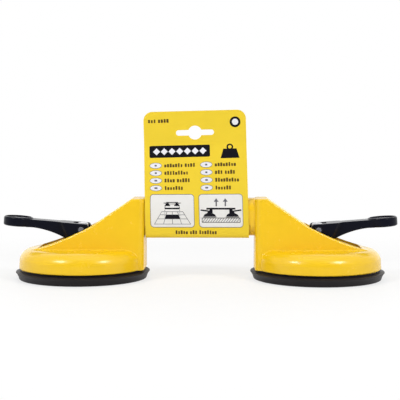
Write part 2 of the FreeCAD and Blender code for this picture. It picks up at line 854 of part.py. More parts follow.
def card_sleeve():
    """The folded card's section: a loop round the handle that closes into a double leaf."""
    loops = []
    for offset in (card_thickness, 0.01):
        front, front_low, front_fold = card_leaf(-1, offset)
        back, back_low, back_fold = card_leaf(1, offset)
        edges = front + back + [line(front_low, back_low)]
        edges.append(line(front_fold, back_fold))
        loops.append(edge_loop_face(edges))
    section = loops[0].cut(loops[1])
    length = 2 * card_width
    sleeve = section.extrude(V(length, 0, 0))
    sleeve.translate(V(-length / 2, 0, 0))
    leaf = Part.makeBox(
        length, 2 * card_thickness, card_top_z - card_fold_z + cut_over + 1,
        V(-length / 2, -card_thickness, card_fold_z - 1))
    return sleeve.fuse(leaf)


def card_outline():
    """Front view of the card, leaning a little along the handle, with its hanging slot."""
    low = handle_bottom_z - 2 * card_thickness - card_slack
    height = card_top_z - low
    half = card_width / 2
    block = Part.makeBox(
        card_width, 4 * handle_depth, height + cut_over, V(-half, -2 * handle_depth, -cut_over))
    top = edges_where(
        block, lambda e: edge_box(e).ZMin > height - 0.1 and edge_box(e).XLength < 0.1)
    block = block.makeFillet(card_corner, top)
    slot_z = height - slot_drop
    bar = Part.makeBox(
        slot_length - slot_height, 4 * handle_depth, slot_height,
        V(-(slot_length - slot_height) / 2, -2 * handle_depth, slot_z - slot_height / 2))
    tools = [bar]
    for x, radius in (
            (-(slot_length - slot_height) / 2, slot_height / 2),
            ((slot_length - slot_height) / 2, slot_height / 2),
            (0, slot_eye_radius)):
        tools.append(cross_cylinder(radius, -2 * handle_depth, 2 * handle_depth, x, slot_z))
    block = block.cut(tools[0].fuse(tools[1:]))
    block.rotate(V(0, 0, 0), DEPTH, -card_lean_deg)
    block.translate(V(card_shift, 0, low))
    return block


def hang_card():
    return card_sleeve().common(card_outline()).removeSplitter()


# ---------------------------------------------------------------- output
def write(name, shape):
    solids = shape.Solids
    made = solids[0] if len(solids) == 1 else Part.makeCompound(solids)
    valid = made.isValid()
    made.exportStep(os.path.join("parts", name + ".step"))
    print(f"{name}: {len(solids)} solid(s), {made.Volume / 1000:.2f} cm3, valid {valid}")


def main():
    os.makedirs("parts", exist_ok=True)
    write("frame_moulding", frame_moulding())
    write("handle_cover", handle_cover())
    write("cover_screws", cover_screws())
    write("hang_card", hang_card())
    for name, make in (
            ("lever", lever),
            ("draw_stud", draw_stud),
            ("pivot_pin", pivot_pin),
            ("pin_clips", pin_clips),
            ("wear_plate", wear_plate),
            ("wear_plate_screws", wear_plate_screws),
            ("guide_bush", guide_bush),
            ("pad_plate", pad_plate),
            ("stud_nut", stud_nut),
            ("suction_pad", suction_pad)):
        right = make()
        write(name + "_right", right)
        write(name + "_left", mirrored(right))


main()
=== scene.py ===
"""Double suction lifter for floor tiles: finishes, rubber pads, retail card and studio round the CAD frame.

Everything is in metres, with +X along the handle, +Z up, and the origin on the tile midway between the pads.
"""

import math

import bmesh
import bpy
from bpy.props import FloatProperty, FloatVectorProperty, IntProperty, PointerProperty
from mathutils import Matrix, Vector


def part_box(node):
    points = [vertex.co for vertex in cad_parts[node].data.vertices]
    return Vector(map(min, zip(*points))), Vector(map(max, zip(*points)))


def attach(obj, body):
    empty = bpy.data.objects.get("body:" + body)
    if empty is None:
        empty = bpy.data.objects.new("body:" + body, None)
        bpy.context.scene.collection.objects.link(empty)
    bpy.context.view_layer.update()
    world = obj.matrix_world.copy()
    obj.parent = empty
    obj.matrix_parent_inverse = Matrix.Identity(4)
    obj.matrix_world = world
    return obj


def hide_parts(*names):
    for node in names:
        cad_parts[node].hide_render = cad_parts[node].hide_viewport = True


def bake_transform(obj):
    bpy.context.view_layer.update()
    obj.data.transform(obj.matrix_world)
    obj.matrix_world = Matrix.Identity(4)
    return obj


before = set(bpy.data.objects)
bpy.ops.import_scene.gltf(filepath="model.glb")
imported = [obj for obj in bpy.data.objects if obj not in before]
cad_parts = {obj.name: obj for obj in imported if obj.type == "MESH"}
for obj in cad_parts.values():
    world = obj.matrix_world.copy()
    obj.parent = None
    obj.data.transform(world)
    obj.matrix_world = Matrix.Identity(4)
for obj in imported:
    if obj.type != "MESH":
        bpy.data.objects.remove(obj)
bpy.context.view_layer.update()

bl_info = {
    "name": "Tile Suction Lifter",
    "version": (1, 0, 0),
    "blender": (4, 5, 0),
    "location": "3D View > Sidebar > Lifter",
    "description": "Finishes, rubber pads, retail card and studio for a double suction lifter",
    "category": "Object",
}

MM = 0.001
SIDES = {"right": 1.0, "left": -1.0}
FRONT = -1.0
BACK = 1.0


def middle(node, axis):
    """The middle of a CAD node's box along one axis."""
    low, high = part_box(node)
    return (low[axis] + high[axis]) / 2


PAD_X = middle("draw_stud_right", 0)
PAD_LOW, PAD_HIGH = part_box("suction_pad_right")
PLATE_LOW, PLATE_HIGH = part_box("pad_plate_right")
CARD_LOW, CARD_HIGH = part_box("hang_card")


# ------------ properties
def length(name, description, default, high=1.0):
    return FloatProperty(
        name=name, description=description, default=default, min=0.0, max=high,
        subtype="DISTANCE", unit="LENGTH")


def share(name, description, default):
    return FloatProperty(
        name=name, description=description, default=default, min=0.0, max=1.0, subtype="FACTOR")


def angle(name, description, degrees):
    return FloatProperty(
        name=name, description=description, default=math.radians(degrees), subtype="ANGLE")


def power(name, description, default):
    return FloatProperty(
        name=name, description=description, default=default, min=0.0, subtype="POWER", unit="POWER")


def colour(name, description, *screen):
    """A colour property, from red, green and blue as a screen shows them, 0 to 255."""
    linear = [((c / 255 + 0.055) / 1.055) ** 2.4 if c > 10 else c / 255 / 12.92 for c in screen]
    return FloatVectorProperty(
        name=name, description=description, default=(*linear, 1.0), size=4, min=0.0, max=1.0,
        subtype="COLOR")


class LifterColours(bpy.types.PropertyGroup):
    """Colours of the lifter's materials."""

    body: colour("Body", "Yellow moulded plastic", 242, 197, 14)
    lever: colour("Lever", "Black moulded plastic", 8, 10, 25)
    rubber: colour("Rubber", "Suction pads", 25, 21, 24)
    steel: colour("Steel", "Turned studs", 190, 190, 194)
    pin_steel: colour("Pin steel", "Oiled lever pins", 132, 132, 140)
    zinc: colour("Zinc", "Plated screws, nuts and plates", 178, 182, 186)
    blackened: colour("Blackened steel", "Spring clips on the lever pins", 46, 46, 50)
    bush: colour("Bush", "Natural plastic guide bushes", 226, 222, 208)
    card: colour("Card", "Printed face of the retail card", 232, 201, 46)
    card_core: colour("Card core", "Cut edge of the retail card", 226, 214, 170)
    ink: colour("Ink", "Dark print on the card", 10, 9, 20)
    brown_ink: colour("Brown ink", "Fine dark print on the yellow card", 84, 62, 18)
    pale_ink: colour("Pale ink", "Ovals and small tiles on the card", 226, 226, 232)
    grey_ink: colour("Grey ink", "Picture panels on the card", 226, 225, 222)
    line_ink: colour("Line ink", "Outlines and pictures on the card", 96, 96, 104)


class LifterPad(bpy.types.PropertyGroup):
    """Sizes of the rubber suction pads."""

    lip_height: length("Lip height", "Height of the sharp outer lip above the tile", 6.2 * MM)
    lip_flash: length("Lip flash", "Thickness of the moulding line round the lip", 0.4 * MM)
    foot_width: length("Foot width", "Width of the flat sealing ring", 6.0 * MM)
    foot_inset: length("Foot inset", "From the lip in to the sealing ring's outer edge", 2.8 * MM)
    bevel_hollow: length("Bevel hollow", "How far the outer bevel curves inwards", 0.35 * MM)
    shoulder_height: length("Shoulder height", "Height where the rim steps in under the housing", 7.3 * MM)
    shoulder: length("Shoulder", "How far that edge lies inside the lip", 2.6 * MM)
    rim_top: length("Rim top", "Height of the rim's top face, close under the housing", 9.0 * MM)
    neck: length("Neck", "How far the top of the rim lies inside the lip", 5.4 * MM)
    rim_width: length("Rim width", "Width of the thick rim", 10.5 * MM)
    skin: length("Skin", "Thickness of each skin of the flexible web", 0.9 * MM)
    hub_radius: length("Hub radius", "Outer radius of the hub bonded round the steel plate", 26.0 * MM)
    web: length("Web", "Rubber under the steel plate", 3.2 * MM)
    grip_rings: IntProperty(
        name="Grip rings", description="Raised rings under the hub", default=5, min=1, max=9)
    ring_height: length("Ring height", "Height of the raised rings", 0.7 * MM)
    segments: IntProperty(
        name="Segments", description="Faces round each pad", default=192, min=24, max=360)


class LifterCard(bpy.types.PropertyGroup):
    """Sizes of the retail card."""

    width: length("Width", "Width of the card", 91.5 * MM)
    thickness: length("Thickness", "Thickness of one leaf", 0.5 * MM)
    fold_height: length("Fold height", "Height above which the leaves are glued together", 120.0 * MM)
    leave_height: length("Leave height", "Height where the leaves leave the handle", 62.0 * MM)
    lean: angle("Lean", "How far the card leans along the handle", 1.5)
    corner: length("Corner", "Radius of the top corners", 8.0 * MM)
    crease: length("Crease", "Inner radius of the two creases under the handle", 2.6 * MM)
    slot_length: length("Slot length", "Length of the hanging slot", 34.0 * MM)
    slot_height: length("Slot height", "Height of the hanging slot", 4.9 * MM)
    slot_eye: length("Slot eye", "Radius of the round eye in the slot", 6.2 * MM)
    slot_drop: length("Slot drop", "From the top edge to the middle of the slot", 19.4 * MM)
    ink_thickness: length("Ink thickness", "Thickness of a printed patch", 0.06 * MM)


class LifterStage(bpy.types.PropertyGroup):
    """Camera, lamps and floor."""

    distance: length("Distance", "From the camera to the point it looks at", 0.895, high=10.0)
    azimuth: angle("Azimuth", "How far the camera stands to the right", 1.1)
    elevation: angle("Elevation", "Camera's angle above the horizon", 3.98)
    target_height: length("Target height", "Height of the point the camera looks at", 0.070)
    focal_length: FloatProperty(
        name="Focal length", description="Lens in millimetres on a 36 mm sensor", default=89.71,
        min=10.0, max=300.0)
    lamp_energy: power("Lamp energy", "Power of each side lamp", 4.0)
    back_energy: power("Back energy", "Power of each lamp behind the lifter", 2.0)
    top_energy: power("Top energy", "Power of the overhead lamp", 1.2)
    ambient: FloatProperty(
        name="Ambient", description="Strength of the surrounding white room", default=0.49, min=0.0)
    front_wall: share("Front wall", "Brightness, in reflections, of the room's side behind the camera", 0.12)
    shadow: share("Shadow", "How much of the shadow on the floor shows", 0.33)
    shadow_reach: length("Shadow reach", "From the middle to where the shadow begins to fade", 0.22)


GROUPS = {
    "lifter_colours": LifterColours,
    "lifter_pad": LifterPad,
    "lifter_card": LifterCard,
    "lifter_stage": LifterStage,
}


# ------------ node helpers
def new_group(name, family, inputs, outputs):
    """A node group: its tree, its input sockets and its output node.

    Each socket is given by its name and its default, or its type where it has no default.
    """
    tree = bpy.data.node_groups.new(name, family + "NodeTree")
    for way, sockets in (("INPUT", inputs), ("OUTPUT", outputs)):
        for label, given in sockets.items():
            kind = given if isinstance(given, str) else type(given).__name__.capitalize()
            socket = tree.interface.new_socket(label, in_out=way, socket_type="NodeSocket" + kind)
            if given != kind:
                socket.default_value = given
    return tree, tree.nodes.new("NodeGroupInput").outputs, tree.nodes.new("NodeGroupOutput")


def feed(tree, node, **inputs):
    """Fills a node's inputs, _0 being the first, with values or with links from sockets or nodes."""
    for key, value in inputs.items():
        socket = node.inputs[int(key[1:]) if key[0] == "_" else key.replace("_", " ")]
        if isinstance(value, bpy.types.Node):
            value = value.outputs[0]
        if isinstance(value, bpy.types.NodeSocket):
            tree.links.new(value, socket)
        else:
            socket.default_value = value
    return node


def add(tree, kind, settings=None, **inputs):
    """A new node with its settings and inputs."""
    node = tree.nodes.new(kind)
    for key, value in (settings or {}).items():
        setattr(node, key, value)
    return feed(tree, node, **inputs)


def maths(tree, operation, *values, clamp=False):
    settings = {"operation": operation, "use_clamp": clamp}
    return add(tree, "ShaderNodeMath", settings, **{f"_{i}": value for i, value in enumerate(values)})


def noise(tree, vector, scale, detail=2.0, roughness=0.5, distortion=0.0):
    return add(
        tree, "ShaderNodeTexNoise", Vector=vector, Scale=scale, Detail=detail,
        Roughness=roughness, Distortion=distortion)


def ranged(tree, value, interpolation="LINEAR", **limits):
    """The value carried over from one range to another."""
    return add(tree, "ShaderNodeMapRange", {"interpolation_type": interpolation}, Value=value, **limits)


def vector_length(tree, vector):
    return add(tree, "ShaderNodeVectorMath", {"operation": "LENGTH"}, _0=vector).outputs["Value"]


def highest(tree, *values):
    """The highest of three values."""
    return maths(tree, "MAXIMUM", values[0], maths(tree, "MAXIMUM", *values[1:]))


# ------------ shader groups
def moulded_skin_group():
    """Fine spark-eroded grain, slow flow marks and a faint mottle, as moulded plastic has."""
    tree, given, result = new_group(
        "Moulded Skin", "Shader", {"Vector": "Vector", "Grain Scale": 1600.0, "Grain": 0.5, "Flow": 0.5},
        {"Height": "Float", "Mottle": "Float"})
    grain = noise(tree, given["Vector"], given["Grain Scale"], roughness=0.6)
    flow = noise(tree, given["Vector"], 38.0, distortion=0.6)
    mottle = noise(tree, given["Vector"], 90.0, detail=4.0, roughness=0.6)
    fine = maths(tree, "MULTIPLY", grain, given["Grain"])
    slow = maths(tree, "MULTIPLY", flow, given["Flow"])
    feed(tree, result, Height=maths(tree, "ADD", fine, slow), Mottle=mottle)
    return tree


def handling_marks_group():
    """Hair scratches on rubbed patches: 1 on a mark, 0 elsewhere."""
    tree, given, result = new_group(
        "Handling Marks", "Shader", {"Vector": "Vector", "Amount": 0.5}, {"Mask": "Float"})
    hairs = []
    for turn, stretch in ((0.4, (2600.0, 90.0, 400.0)), (-0.9, (120.0, 500.0, 2300.0))):
        placed = add(
            tree, "ShaderNodeMapping", Vector=given["Vector"], Rotation=(turn, turn / 2, turn),
            Scale=stretch)
        hairs.append(maths(tree, "GREATER_THAN", noise(tree, placed, 1.0, detail=1.0), 0.72))
    patches = noise(tree, given["Vector"], 55.0, detail=3.0)
    rubbed = ranged(tree, patches, "SMOOTHSTEP", From_Min=0.52, From_Max=0.75)
    marks = maths(tree, "MULTIPLY", maths(tree, "MAXIMUM", *hairs), rubbed)
    feed(tree, result, Mask=maths(tree, "MULTIPLY", marks, given["Amount"], clamp=True))
    return tree


def soft_edge_group():
    """A small radius on sharp edges, and a mask of where the edges are."""
    tree, given, result = new_group(
        "Soft Edge", "Shader", {"Radius": 0.5 * MM}, {"Normal": "Vector", "Edge": "Float"})
    rounded = add(tree, "ShaderNodeBevel", {"samples": 4}, Radius=given["Radius"])
    flat = add(tree, "ShaderNodeNewGeometry").outputs["True Normal"]
    turned = add(tree, "ShaderNodeVectorMath", {"operation": "DOT_PRODUCT"}, _0=rounded, _1=flat)
    edge = ranged(tree, turned.outputs["Value"], From_Min=0.995, From_Max=0.86)
    feed(tree, result, Normal=rounded, Edge=edge)
    return tree


def pad_centre_group():
    """Moves both pad axes to the origin, so one round pattern serves both sides, and gives the radius."""
    tree, given, result = new_group(
        "Pad Centre", "Shader", {"Vector": "Vector", "Pad X": PAD_X},
        {"Vector": "Vector", "Radius": "Float"})
    x, y, z = add(tree, "ShaderNodeSeparateXYZ", Vector=given["Vector"]).outputs
    folded = maths(tree, "SUBTRACT", maths(tree, "ABSOLUTE", x), given["Pad X"])
    centred = add(tree, "ShaderNodeCombineXYZ", X=folded, Y=y, Z=z)
    level = add(tree, "ShaderNodeCombineXYZ", X=folded, Y=y)
    feed(tree, result, Vector=centred, Radius=vector_length(tree, level))
    return tree


def turned_rings_group():
    """Fine turning rings round the pad axis, as a lathe or a turned mould leaves them."""
    tree, given, result = new_group(
        "Turned Rings", "Shader", {"Radius": 0.0, "Pitch": 0.4 * MM}, {"Height": "Float"})
    turns = maths(tree, "DIVIDE", given["Radius"], given["Pitch"])
    wave = maths(tree, "SINE", maths(tree, "MULTIPLY", turns, math.tau))
    feed(tree, result, Height=maths(tree, "MULTIPLY_ADD", wave, 0.5, 0.5))
    return tree


def printed_board_group():
    """Board fibres and the faint clouds of printed ink."""
    tree, given, result = new_group(
        "Printed Board", "Shader", {"Vector": "Vector", "Fibre": 0.5}, {"Height": "Float", "Tone": "Float"})
    stretched = add(tree, "ShaderNodeMapping", Vector=given["Vector"], Scale=(420.0, 900.0, 1500.0))
    fibre = noise(tree, stretched, 1.0, detail=3.0, roughness=0.65)
    cloud = noise(tree, given["Vector"], 45.0, detail=3.0)
    tone = maths(tree, "MULTIPLY_ADD", fibre, 0.35, maths(tree, "MULTIPLY", cloud, 0.65))
    feed(tree, result, Height=maths(tree, "MULTIPLY", fibre, given["Fibre"]), Tone=tone)
    return tree


# ------------ geometry groups
def finished_group(tree, shape, given, result):
    """Ends a geometry group with real faces in the given material."""
    real = add(tree, "GeometryNodeRealizeInstances", Geometry=shape)
    dressed = add(tree, "GeometryNodeSetMaterial", Geometry=real, Material=given["Material"])
    feed(tree, result, Geometry=dressed)
    return tree


def lathe_group():
    """Sweeps the mesh's own outline of (radius, height) points round an upright axis."""
    tree, given, result = new_group(
        "Lathe", "Geometry",
        {"Outline": "Geometry", "Sweep Radius": 0.01, "Segments": 96, "Axis X": 0.0, "Material": "Material"},
        {"Geometry": "Geometry"})
    start = add(tree, "ShaderNodeCombineXYZ", X=maths(tree, "MULTIPLY", given["Sweep Radius"], -1.0))
    outline = add(
        tree, "GeometryNodeTransform", Geometry=given["Outline"], Translation=start,
        Scale=(1.0, -1.0, 1.0))
    profile = add(tree, "GeometryNodeMeshToCurve", Mesh=outline)
    circle = add(
        tree, "GeometryNodeCurvePrimitiveCircle", Resolution=given["Segments"],
        Radius=given["Sweep Radius"])
    swept = add(tree, "GeometryNodeCurveToMesh", Curve=circle, Profile_Curve=profile)
    aside = add(tree, "ShaderNodeCombineXYZ", X=given["Axis X"])
    placed = add(tree, "GeometryNodeTransform", Geometry=swept, Translation=aside)
    merged = add(tree, "GeometryNodeMergeByDistance", Geometry=placed, Distance=2e-6)
    return finished_group(tree, merged, given, result)


def rows_group():
    """Copies a flat shape into rows and columns, each copy seeded to be a little narrower and lower."""
    tree, given, result = new_group(
        "Rows", "Geometry",
        {"Shape": "Geometry", "Columns": 2, "Rows": 4, "Column Pitch": 0.01, "Row Pitch": 0.01,
         "Narrowest": 1.0, "Lowest": 1.0, "Seed": 1, "Material": "Material"},
        {"Geometry": "Geometry"})

    def span(count, pitch):
        return maths(tree, "MULTIPLY", maths(tree, "SUBTRACT", given[count], 1.0), given[pitch])

    def factor(least, seed):
        settings = {"data_type": "FLOAT"}
        return add(tree, "FunctionNodeRandomValue", settings, _2=given[least], _3=1.0, Seed=seed).outputs[1]

    grid = add(
        tree, "GeometryNodeMeshGrid", Size_X=span("Columns", "Column Pitch"),
        Size_Y=span("Rows", "Row Pitch"), Vertices_X=given["Columns"], Vertices_Y=given["Rows"])
    wide = factor("Narrowest", given["Seed"])
    high = factor("Lowest", maths(tree, "ADD", given["Seed"], 100.0))
    size = add(tree, "ShaderNodeCombineXYZ", X=wide, Y=high, Z=1.0)
    copies = add(
        tree, "GeometryNodeInstanceOnPoints", Points=grid, Instance=given["Shape"], Scale=size)
    return finished_group(tree, copies, given, result)


NODE_GROUPS = {
    "Moulded Skin": moulded_skin_group,
    "Handling Marks": handling_marks_group,
    "Soft Edge": soft_edge_group,
    "Pad Centre": pad_centre_group,
    "Turned Rings": turned_rings_group,
    "Printed Board": printed_board_group,
    "Lathe": lathe_group,
    "Rows": rows_group,
}


def shared(name):
    """The node group of that name, built the first time it is asked for."""
    return bpy.data.node_groups.get(name) or NODE_GROUPS[name]()


# ------------ materials
def use(tree, name, **inputs):
    """Places a shared group in a material and gives its outputs."""
    return add(tree, "ShaderNodeGroup", {"node_tree": shared(name)}, **inputs).outputs


def blank_material(name, **inputs):
    """A material, its tree, its shader with some inputs filled, and the object's coordinates."""
    material = bpy.data.materials.new(name)
    material.use_nodes = True
    tree = material.node_tree
    shader = feed(tree, tree.nodes["Principled BSDF"], **inputs)
    return material, tree, shader, tree.nodes.new("ShaderNodeTexCoord").outputs["Object"]


def shade(base, factor, lift=0.0):
    """The colour made darker or lighter."""
    return (*[min(c * factor + lift, 1.0) for c in base[:3]], 1.0)


def tinted(tree, base, tone, darker, lighter):
    """The base colour, a little darker or lighter with the tone."""
    ramp = add(tree, "ShaderNodeValToRGB", Fac=tone)
    for stop, factor, position in zip(ramp.color_ramp.elements, (darker, lighter), (0.3, 0.7)):
        stop.color = shade(base, factor)
        stop.position = position
    return ramp


def marked(tree, amount, below, mark):
    """The colour below, with a share of the mark's colour over it."""
    return add(tree, "ShaderNodeMix", {"data_type": "RGBA"}, _0=amount, _6=below, _7=mark).outputs[2]


def scuffed(tree, tone, low, high, marks, rise):
    """A roughness that follows the tone and rises on the handling marks."""
    gloss = ranged(tree, tone, To_Min=low, To_Max=high)
    return maths(tree, "ADD", gloss, maths(tree, "MULTIPLY", marks, rise), clamp=True)


def bumped(tree, height, depth, **normal):
    return add(tree, "ShaderNodeBump", Height=height, Distance=depth, Strength=1.0, **normal)


def plastic(name, base, roughness, grain, marks, edge_radius, edge_light, specular=0.5):
    """Moulded plastic with grain, flow marks, hair scratches and slightly paler edges, partly edge wear and
    partly a painted highlight along the edges.
    """
    material, tree, shader, place = blank_material(name, Specular_IOR_Level=specular)
    skin = use(tree, "Moulded Skin", Vector=place, Grain_Scale=1500.0, Grain=grain, Flow=0.6)
    scuffs = use(tree, "Handling Marks", Vector=place, Amount=marks)["Mask"]
    edge = use(tree, "Soft Edge", Radius=edge_radius)
    body = tinted(tree, base, skin["Mottle"], 0.98, 1.015)
    # Paler edges: partly edge wear, partly a painted highlight along every sharp edge.
    edge_wear_and_highlight = maths(tree, "MULTIPLY", edge["Edge"], 0.35)
    feed(
        tree, shader,
        Base_Color=marked(tree, edge_wear_and_highlight, body, shade(base, edge_light, 0.006)),
        Roughness=scuffed(tree, skin["Mottle"], roughness - 0.04, roughness + 0.06, scuffs, 0.22),
        Normal=bumped(tree, skin["Height"], 0.04 * MM, Normal=edge["Normal"]))
    return material


def metal(name, base, roughness, ring_pitch, marks):
    """Turned or plated steel with fine rings round the pad axis."""
    material, tree, shader, place = blank_material(name, Metallic=1.0)
    radius = use(tree, "Pad Centre", Vector=place)["Radius"]
    rings = use(tree, "Turned Rings", Radius=radius, Pitch=ring_pitch)["Height"]
    skin = use(tree, "Moulded Skin", Vector=place, Grain_Scale=2400.0, Grain=0.7, Flow=0.2)
    scuffs = use(tree, "Handling Marks", Vector=place, Amount=marks)["Mask"]
    edge = use(tree, "Soft Edge", Radius=0.25 * MM)
    relief = maths(tree, "ADD", rings, skin["Height"])
    feed(
        tree, shader,
        Base_Color=tinted(tree, base, skin["Mottle"], 0.9, 1.06),
        Roughness=scuffed(tree, rings, roughness - 0.05, roughness + 0.07, scuffs, 0.2),
        Normal=bumped(tree, relief, 0.01 * MM, Normal=edge["Normal"]))
    return material


def rubber(name, base):
    """Matt moulded rubber with turned mould rings, a dull bloom and pale dust."""
    material, tree, shader, place = blank_material(
        name, Specular_IOR_Level=0.2, Sheen_Weight=0.03, Sheen_Roughness=0.5)
    centred = use(tree, "Pad Centre", Vector=place)
    rings = use(tree, "Turned Rings", Radius=centred["Radius"], Pitch=0.9 * MM)["Height"]
    skin = use(
        tree, "Moulded Skin", Vector=centred["Vector"], Grain_Scale=1100.0, Grain=0.9, Flow=0.8)
    scuffs = use(tree, "Handling Marks", Vector=place, Amount=0.8)["Mask"]
    body = tinted(tree, base, skin["Mottle"], 0.8, 1.3)
    dust = maths(tree, "MULTIPLY", scuffs, 0.35)
    relief = maths(tree, "MULTIPLY_ADD", rings, 0.3, skin["Height"])
    feed(
        tree, shader,
        Base_Color=marked(tree, dust, body, shade(base, 2.2, 0.01)),
        Roughness=ranged(tree, skin["Mottle"], To_Min=0.42, To_Max=0.6),
        Normal=bumped(tree, relief, 0.05 * MM))
    return material


def board(name, base, roughness=0.4, fibre=0.3, specular=0.3):
    """Printed or bare cardboard."""
    material, tree, shader, place = blank_material(name, Specular_IOR_Level=specular)
    paper = use(tree, "Printed Board", Vector=place, Fibre=fibre)
    feed(
        tree, shader,
        Base_Color=tinted(tree, base, paper["Tone"], 0.965, 1.025),
        Roughness=ranged(tree, paper["Tone"], To_Min=roughness - 0.05, To_Max=roughness + 0.05),
        Normal=bumped(tree, paper["Height"], 0.03 * MM))
    return material


# Each finish: the function that makes it, its colour's property, and its other settings.
MATERIALS = {
    "Yellow Housing Plastic": (plastic, "body", dict(
        roughness=0.25, grain=0.1, marks=0.4, edge_radius=0.8 * MM, edge_light=1.0, specular=0.55)),
    # The lever's edge_light of 2.2 paints its edges much paler: a painted highlight along them, with some
    # edge wear.
    "Black Lever Plastic": (plastic, "lever", dict(
        roughness=0.3, grain=0.5, marks=0.9, edge_radius=0.5 * MM, edge_light=2.2, specular=0.12)),
    "Natural Bush Plastic": (plastic, "bush", dict(
        roughness=0.4, grain=0.3, marks=0.4, edge_radius=0.3 * MM, edge_light=1.05)),
    "Turned Steel": (metal, "steel", dict(roughness=0.2, ring_pitch=0.35 * MM, marks=0.5)),
    "Oiled Pin Steel": (metal, "pin_steel", dict(roughness=0.22, ring_pitch=0.35 * MM, marks=0.5)),
    "Zinc Plated Steel": (metal, "zinc", dict(roughness=0.34, ring_pitch=0.8 * MM, marks=0.7)),
    "Blackened Spring Steel": (metal, "blackened", dict(roughness=0.36, ring_pitch=0.5 * MM, marks=0.6)),
    "Pad Rubber": (rubber, "rubber", {}),
    "Printed Card": (board, "card", dict(roughness=0.42, fibre=0.5)),
    "Card Core": (board, "card_core", dict(roughness=0.85, fibre=1.0)),
    "Dark Ink": (board, "ink", dict(roughness=0.36, specular=0.2)),
    "Brown Ink": (board, "brown_ink", {}),
    "Pale Ink": (board, "pale_ink", {}),
    "Grey Ink": (board, "grey_ink", {}),
    "Line Ink": (board, "line_ink", {}),
}


def finish(name):
    """The material of that name, made the first time it is asked for."""
    if name not in bpy.data.materials:
        make, key, settings = MATERIALS[name]
        make(name, getattr(bpy.context.scene.lifter_colours, key), **settings)
    return bpy.data.materials[name]


def refinish(node, name):
    """Gives a CAD node its finish."""
    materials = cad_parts[node].data.materials
    materials.clear()
    materials.append(finish(name))


# ------------ mesh helpers
def new_object(name, mesh):
    thing = bpy.data.objects.new(name, mesh)
    bpy.context.scene.collection.objects.link(thing)
    return thing


def discard(thing):
    """Removes an object and its mesh."""
    mesh = thing.data
    bpy.data.objects.remove(thing)
    bpy.data.meshes.remove(mesh)


def baked(thing, name):
    """The thing's evaluated shape as a plain mesh object, with the thing itself removed."""
    evaluated = thing.evaluated_get(bpy.context.evaluated_depsgraph_get())
    shape = bpy.data.meshes.new_from_object(evaluated)
    discard(thing)
    shape.name = name
    return new_object(name, shape)


def smooth(mesh, degrees):
    """Smooth shading, with edges sharper than the angle left crisp."""
    mesh.shade_smooth()
    mesh.set_sharp_from_angle(angle=math.radians(degrees))


def run_group(name, mesh, group, **inputs):
    """Runs a geometry group on a mesh, with its inputs set by identifier, and gives a plain object."""
    thing = new_object(name + "_outline", mesh)
    modifier = thing.modifiers.new("group", "NODES")
    modifier.node_group = shared(group)
    sockets = {
        item.name: item.identifier for item in modifier.node_group.interface.items_tree
        if item.item_type == "SOCKET" and item.in_out == "INPUT"}
    for key, value in inputs.items():
        modifier[sockets[key.replace("_", " ")]] = value
    return baked(thing, name)


def lathe(name, points, axis_x, segments, closed=True):
    """A turned rubber shape from (radius, height) points, merged, facing outwards and smooth."""
    count = len(points)
    edges = [(i, (i + 1) % count) for i in range(count if closed else count - 1)]
    mesh = bpy.data.meshes.new(name + "_outline")
    mesh.from_pydata([(r, z, 0.0) for r, z in points], edges, [])
    thing = run_group(
        name, mesh, "Lathe", Sweep_Radius=0.01, Segments=segments, Axis_X=axis_x,
        Material=finish("Pad Rubber"))
    work = bmesh.new()
    work.from_mesh(thing.data)
    bmesh.ops.remove_doubles(work, verts=work.verts, dist=2e-6)
    bmesh.ops.recalc_face_normals(work, faces=work.faces)
    work.to_mesh(thing.data)
    work.free()
    smooth(thing.data, 38)
    return thing


# ------------ lines and outlines
def held(value):
    """The value, kept between 0 and 1."""
    return min(max(value, 0.0), 1.0)


def eased(t):
    """Rises from 0 to 1 as t does, level at both ends."""
    return t * t * (3 - 2 * t)


def arc_points(centre, radius, start, end, steps):
    """Points along a circular arc, with its angles in degrees."""
    turns = [math.radians(start + (end - start) * i / steps) for i in range(steps + 1)]
    return [(centre[0] + radius * math.cos(t), centre[1] + radius * math.sin(t)) for t in turns]


def hollow_line(start, end, sag, steps=8):
    """Points from start to end that bow towards the axis by sag."""
    points = []
    for i in range(steps + 1):
        t = i / steps
        bow = sag * 4 * t * (1 - t)
        points.append((start[0] + (end[0] - start[0]) * t - bow, start[1] + (end[1] - start[1]) * t))
    return points


def skin_line(start, end, steps=14):
    """A flexible skin's line, nearly level at the rim and at the hub."""
    line = []
    for i in range(steps + 1):
        t = i / steps
        rise = 0.55 * t + 0.45 * eased(t)
        line.append((start[0] + (end[0] - start[0]) * t, start[1] + (end[1] - start[1]) * rise))
    return line


def rounded_box(x0, y0, x1, y1, radius, steps=6):
    """Outline of a box with rounded corners."""
    left, right, low, high = x0 + radius, x1 - radius, y0 + radius, y1 - radius
    points = []
    for centre, start in (((right, low), -90), ((right, high), 0), ((left, high), 90), ((left, low), 180)):
        points += arc_points(centre, radius, start, start + 90, steps)
    return points


def oval(cx, cy, width, height, steps=28):
    """Outline of an oval."""
    turns = [math.tau * i / steps for i in range(steps)]
    return [(cx + width / 2 * math.cos(t), cy + height / 2 * math.sin(t)) for t in turns]


def strokes(points, width, closed=False):
    """Outlines of thin bars along a chain of points."""
    bars = []
    for a, b in zip(points, points[1:] + (points[:1] if closed else [])):
        run = Vector((b[0] - a[0], b[1] - a[1]))
        run.normalize()
        side = Vector((-run.y, run.x)) * (width / 2)
        tip = run * (width / 2)
        a, b = Vector(a), Vector(b)
        corners = [a - side - tip, b - side + tip, b + side + tip, a + side - tip]
        bars.append([(c.x, c.y) for c in corners])
    return bars


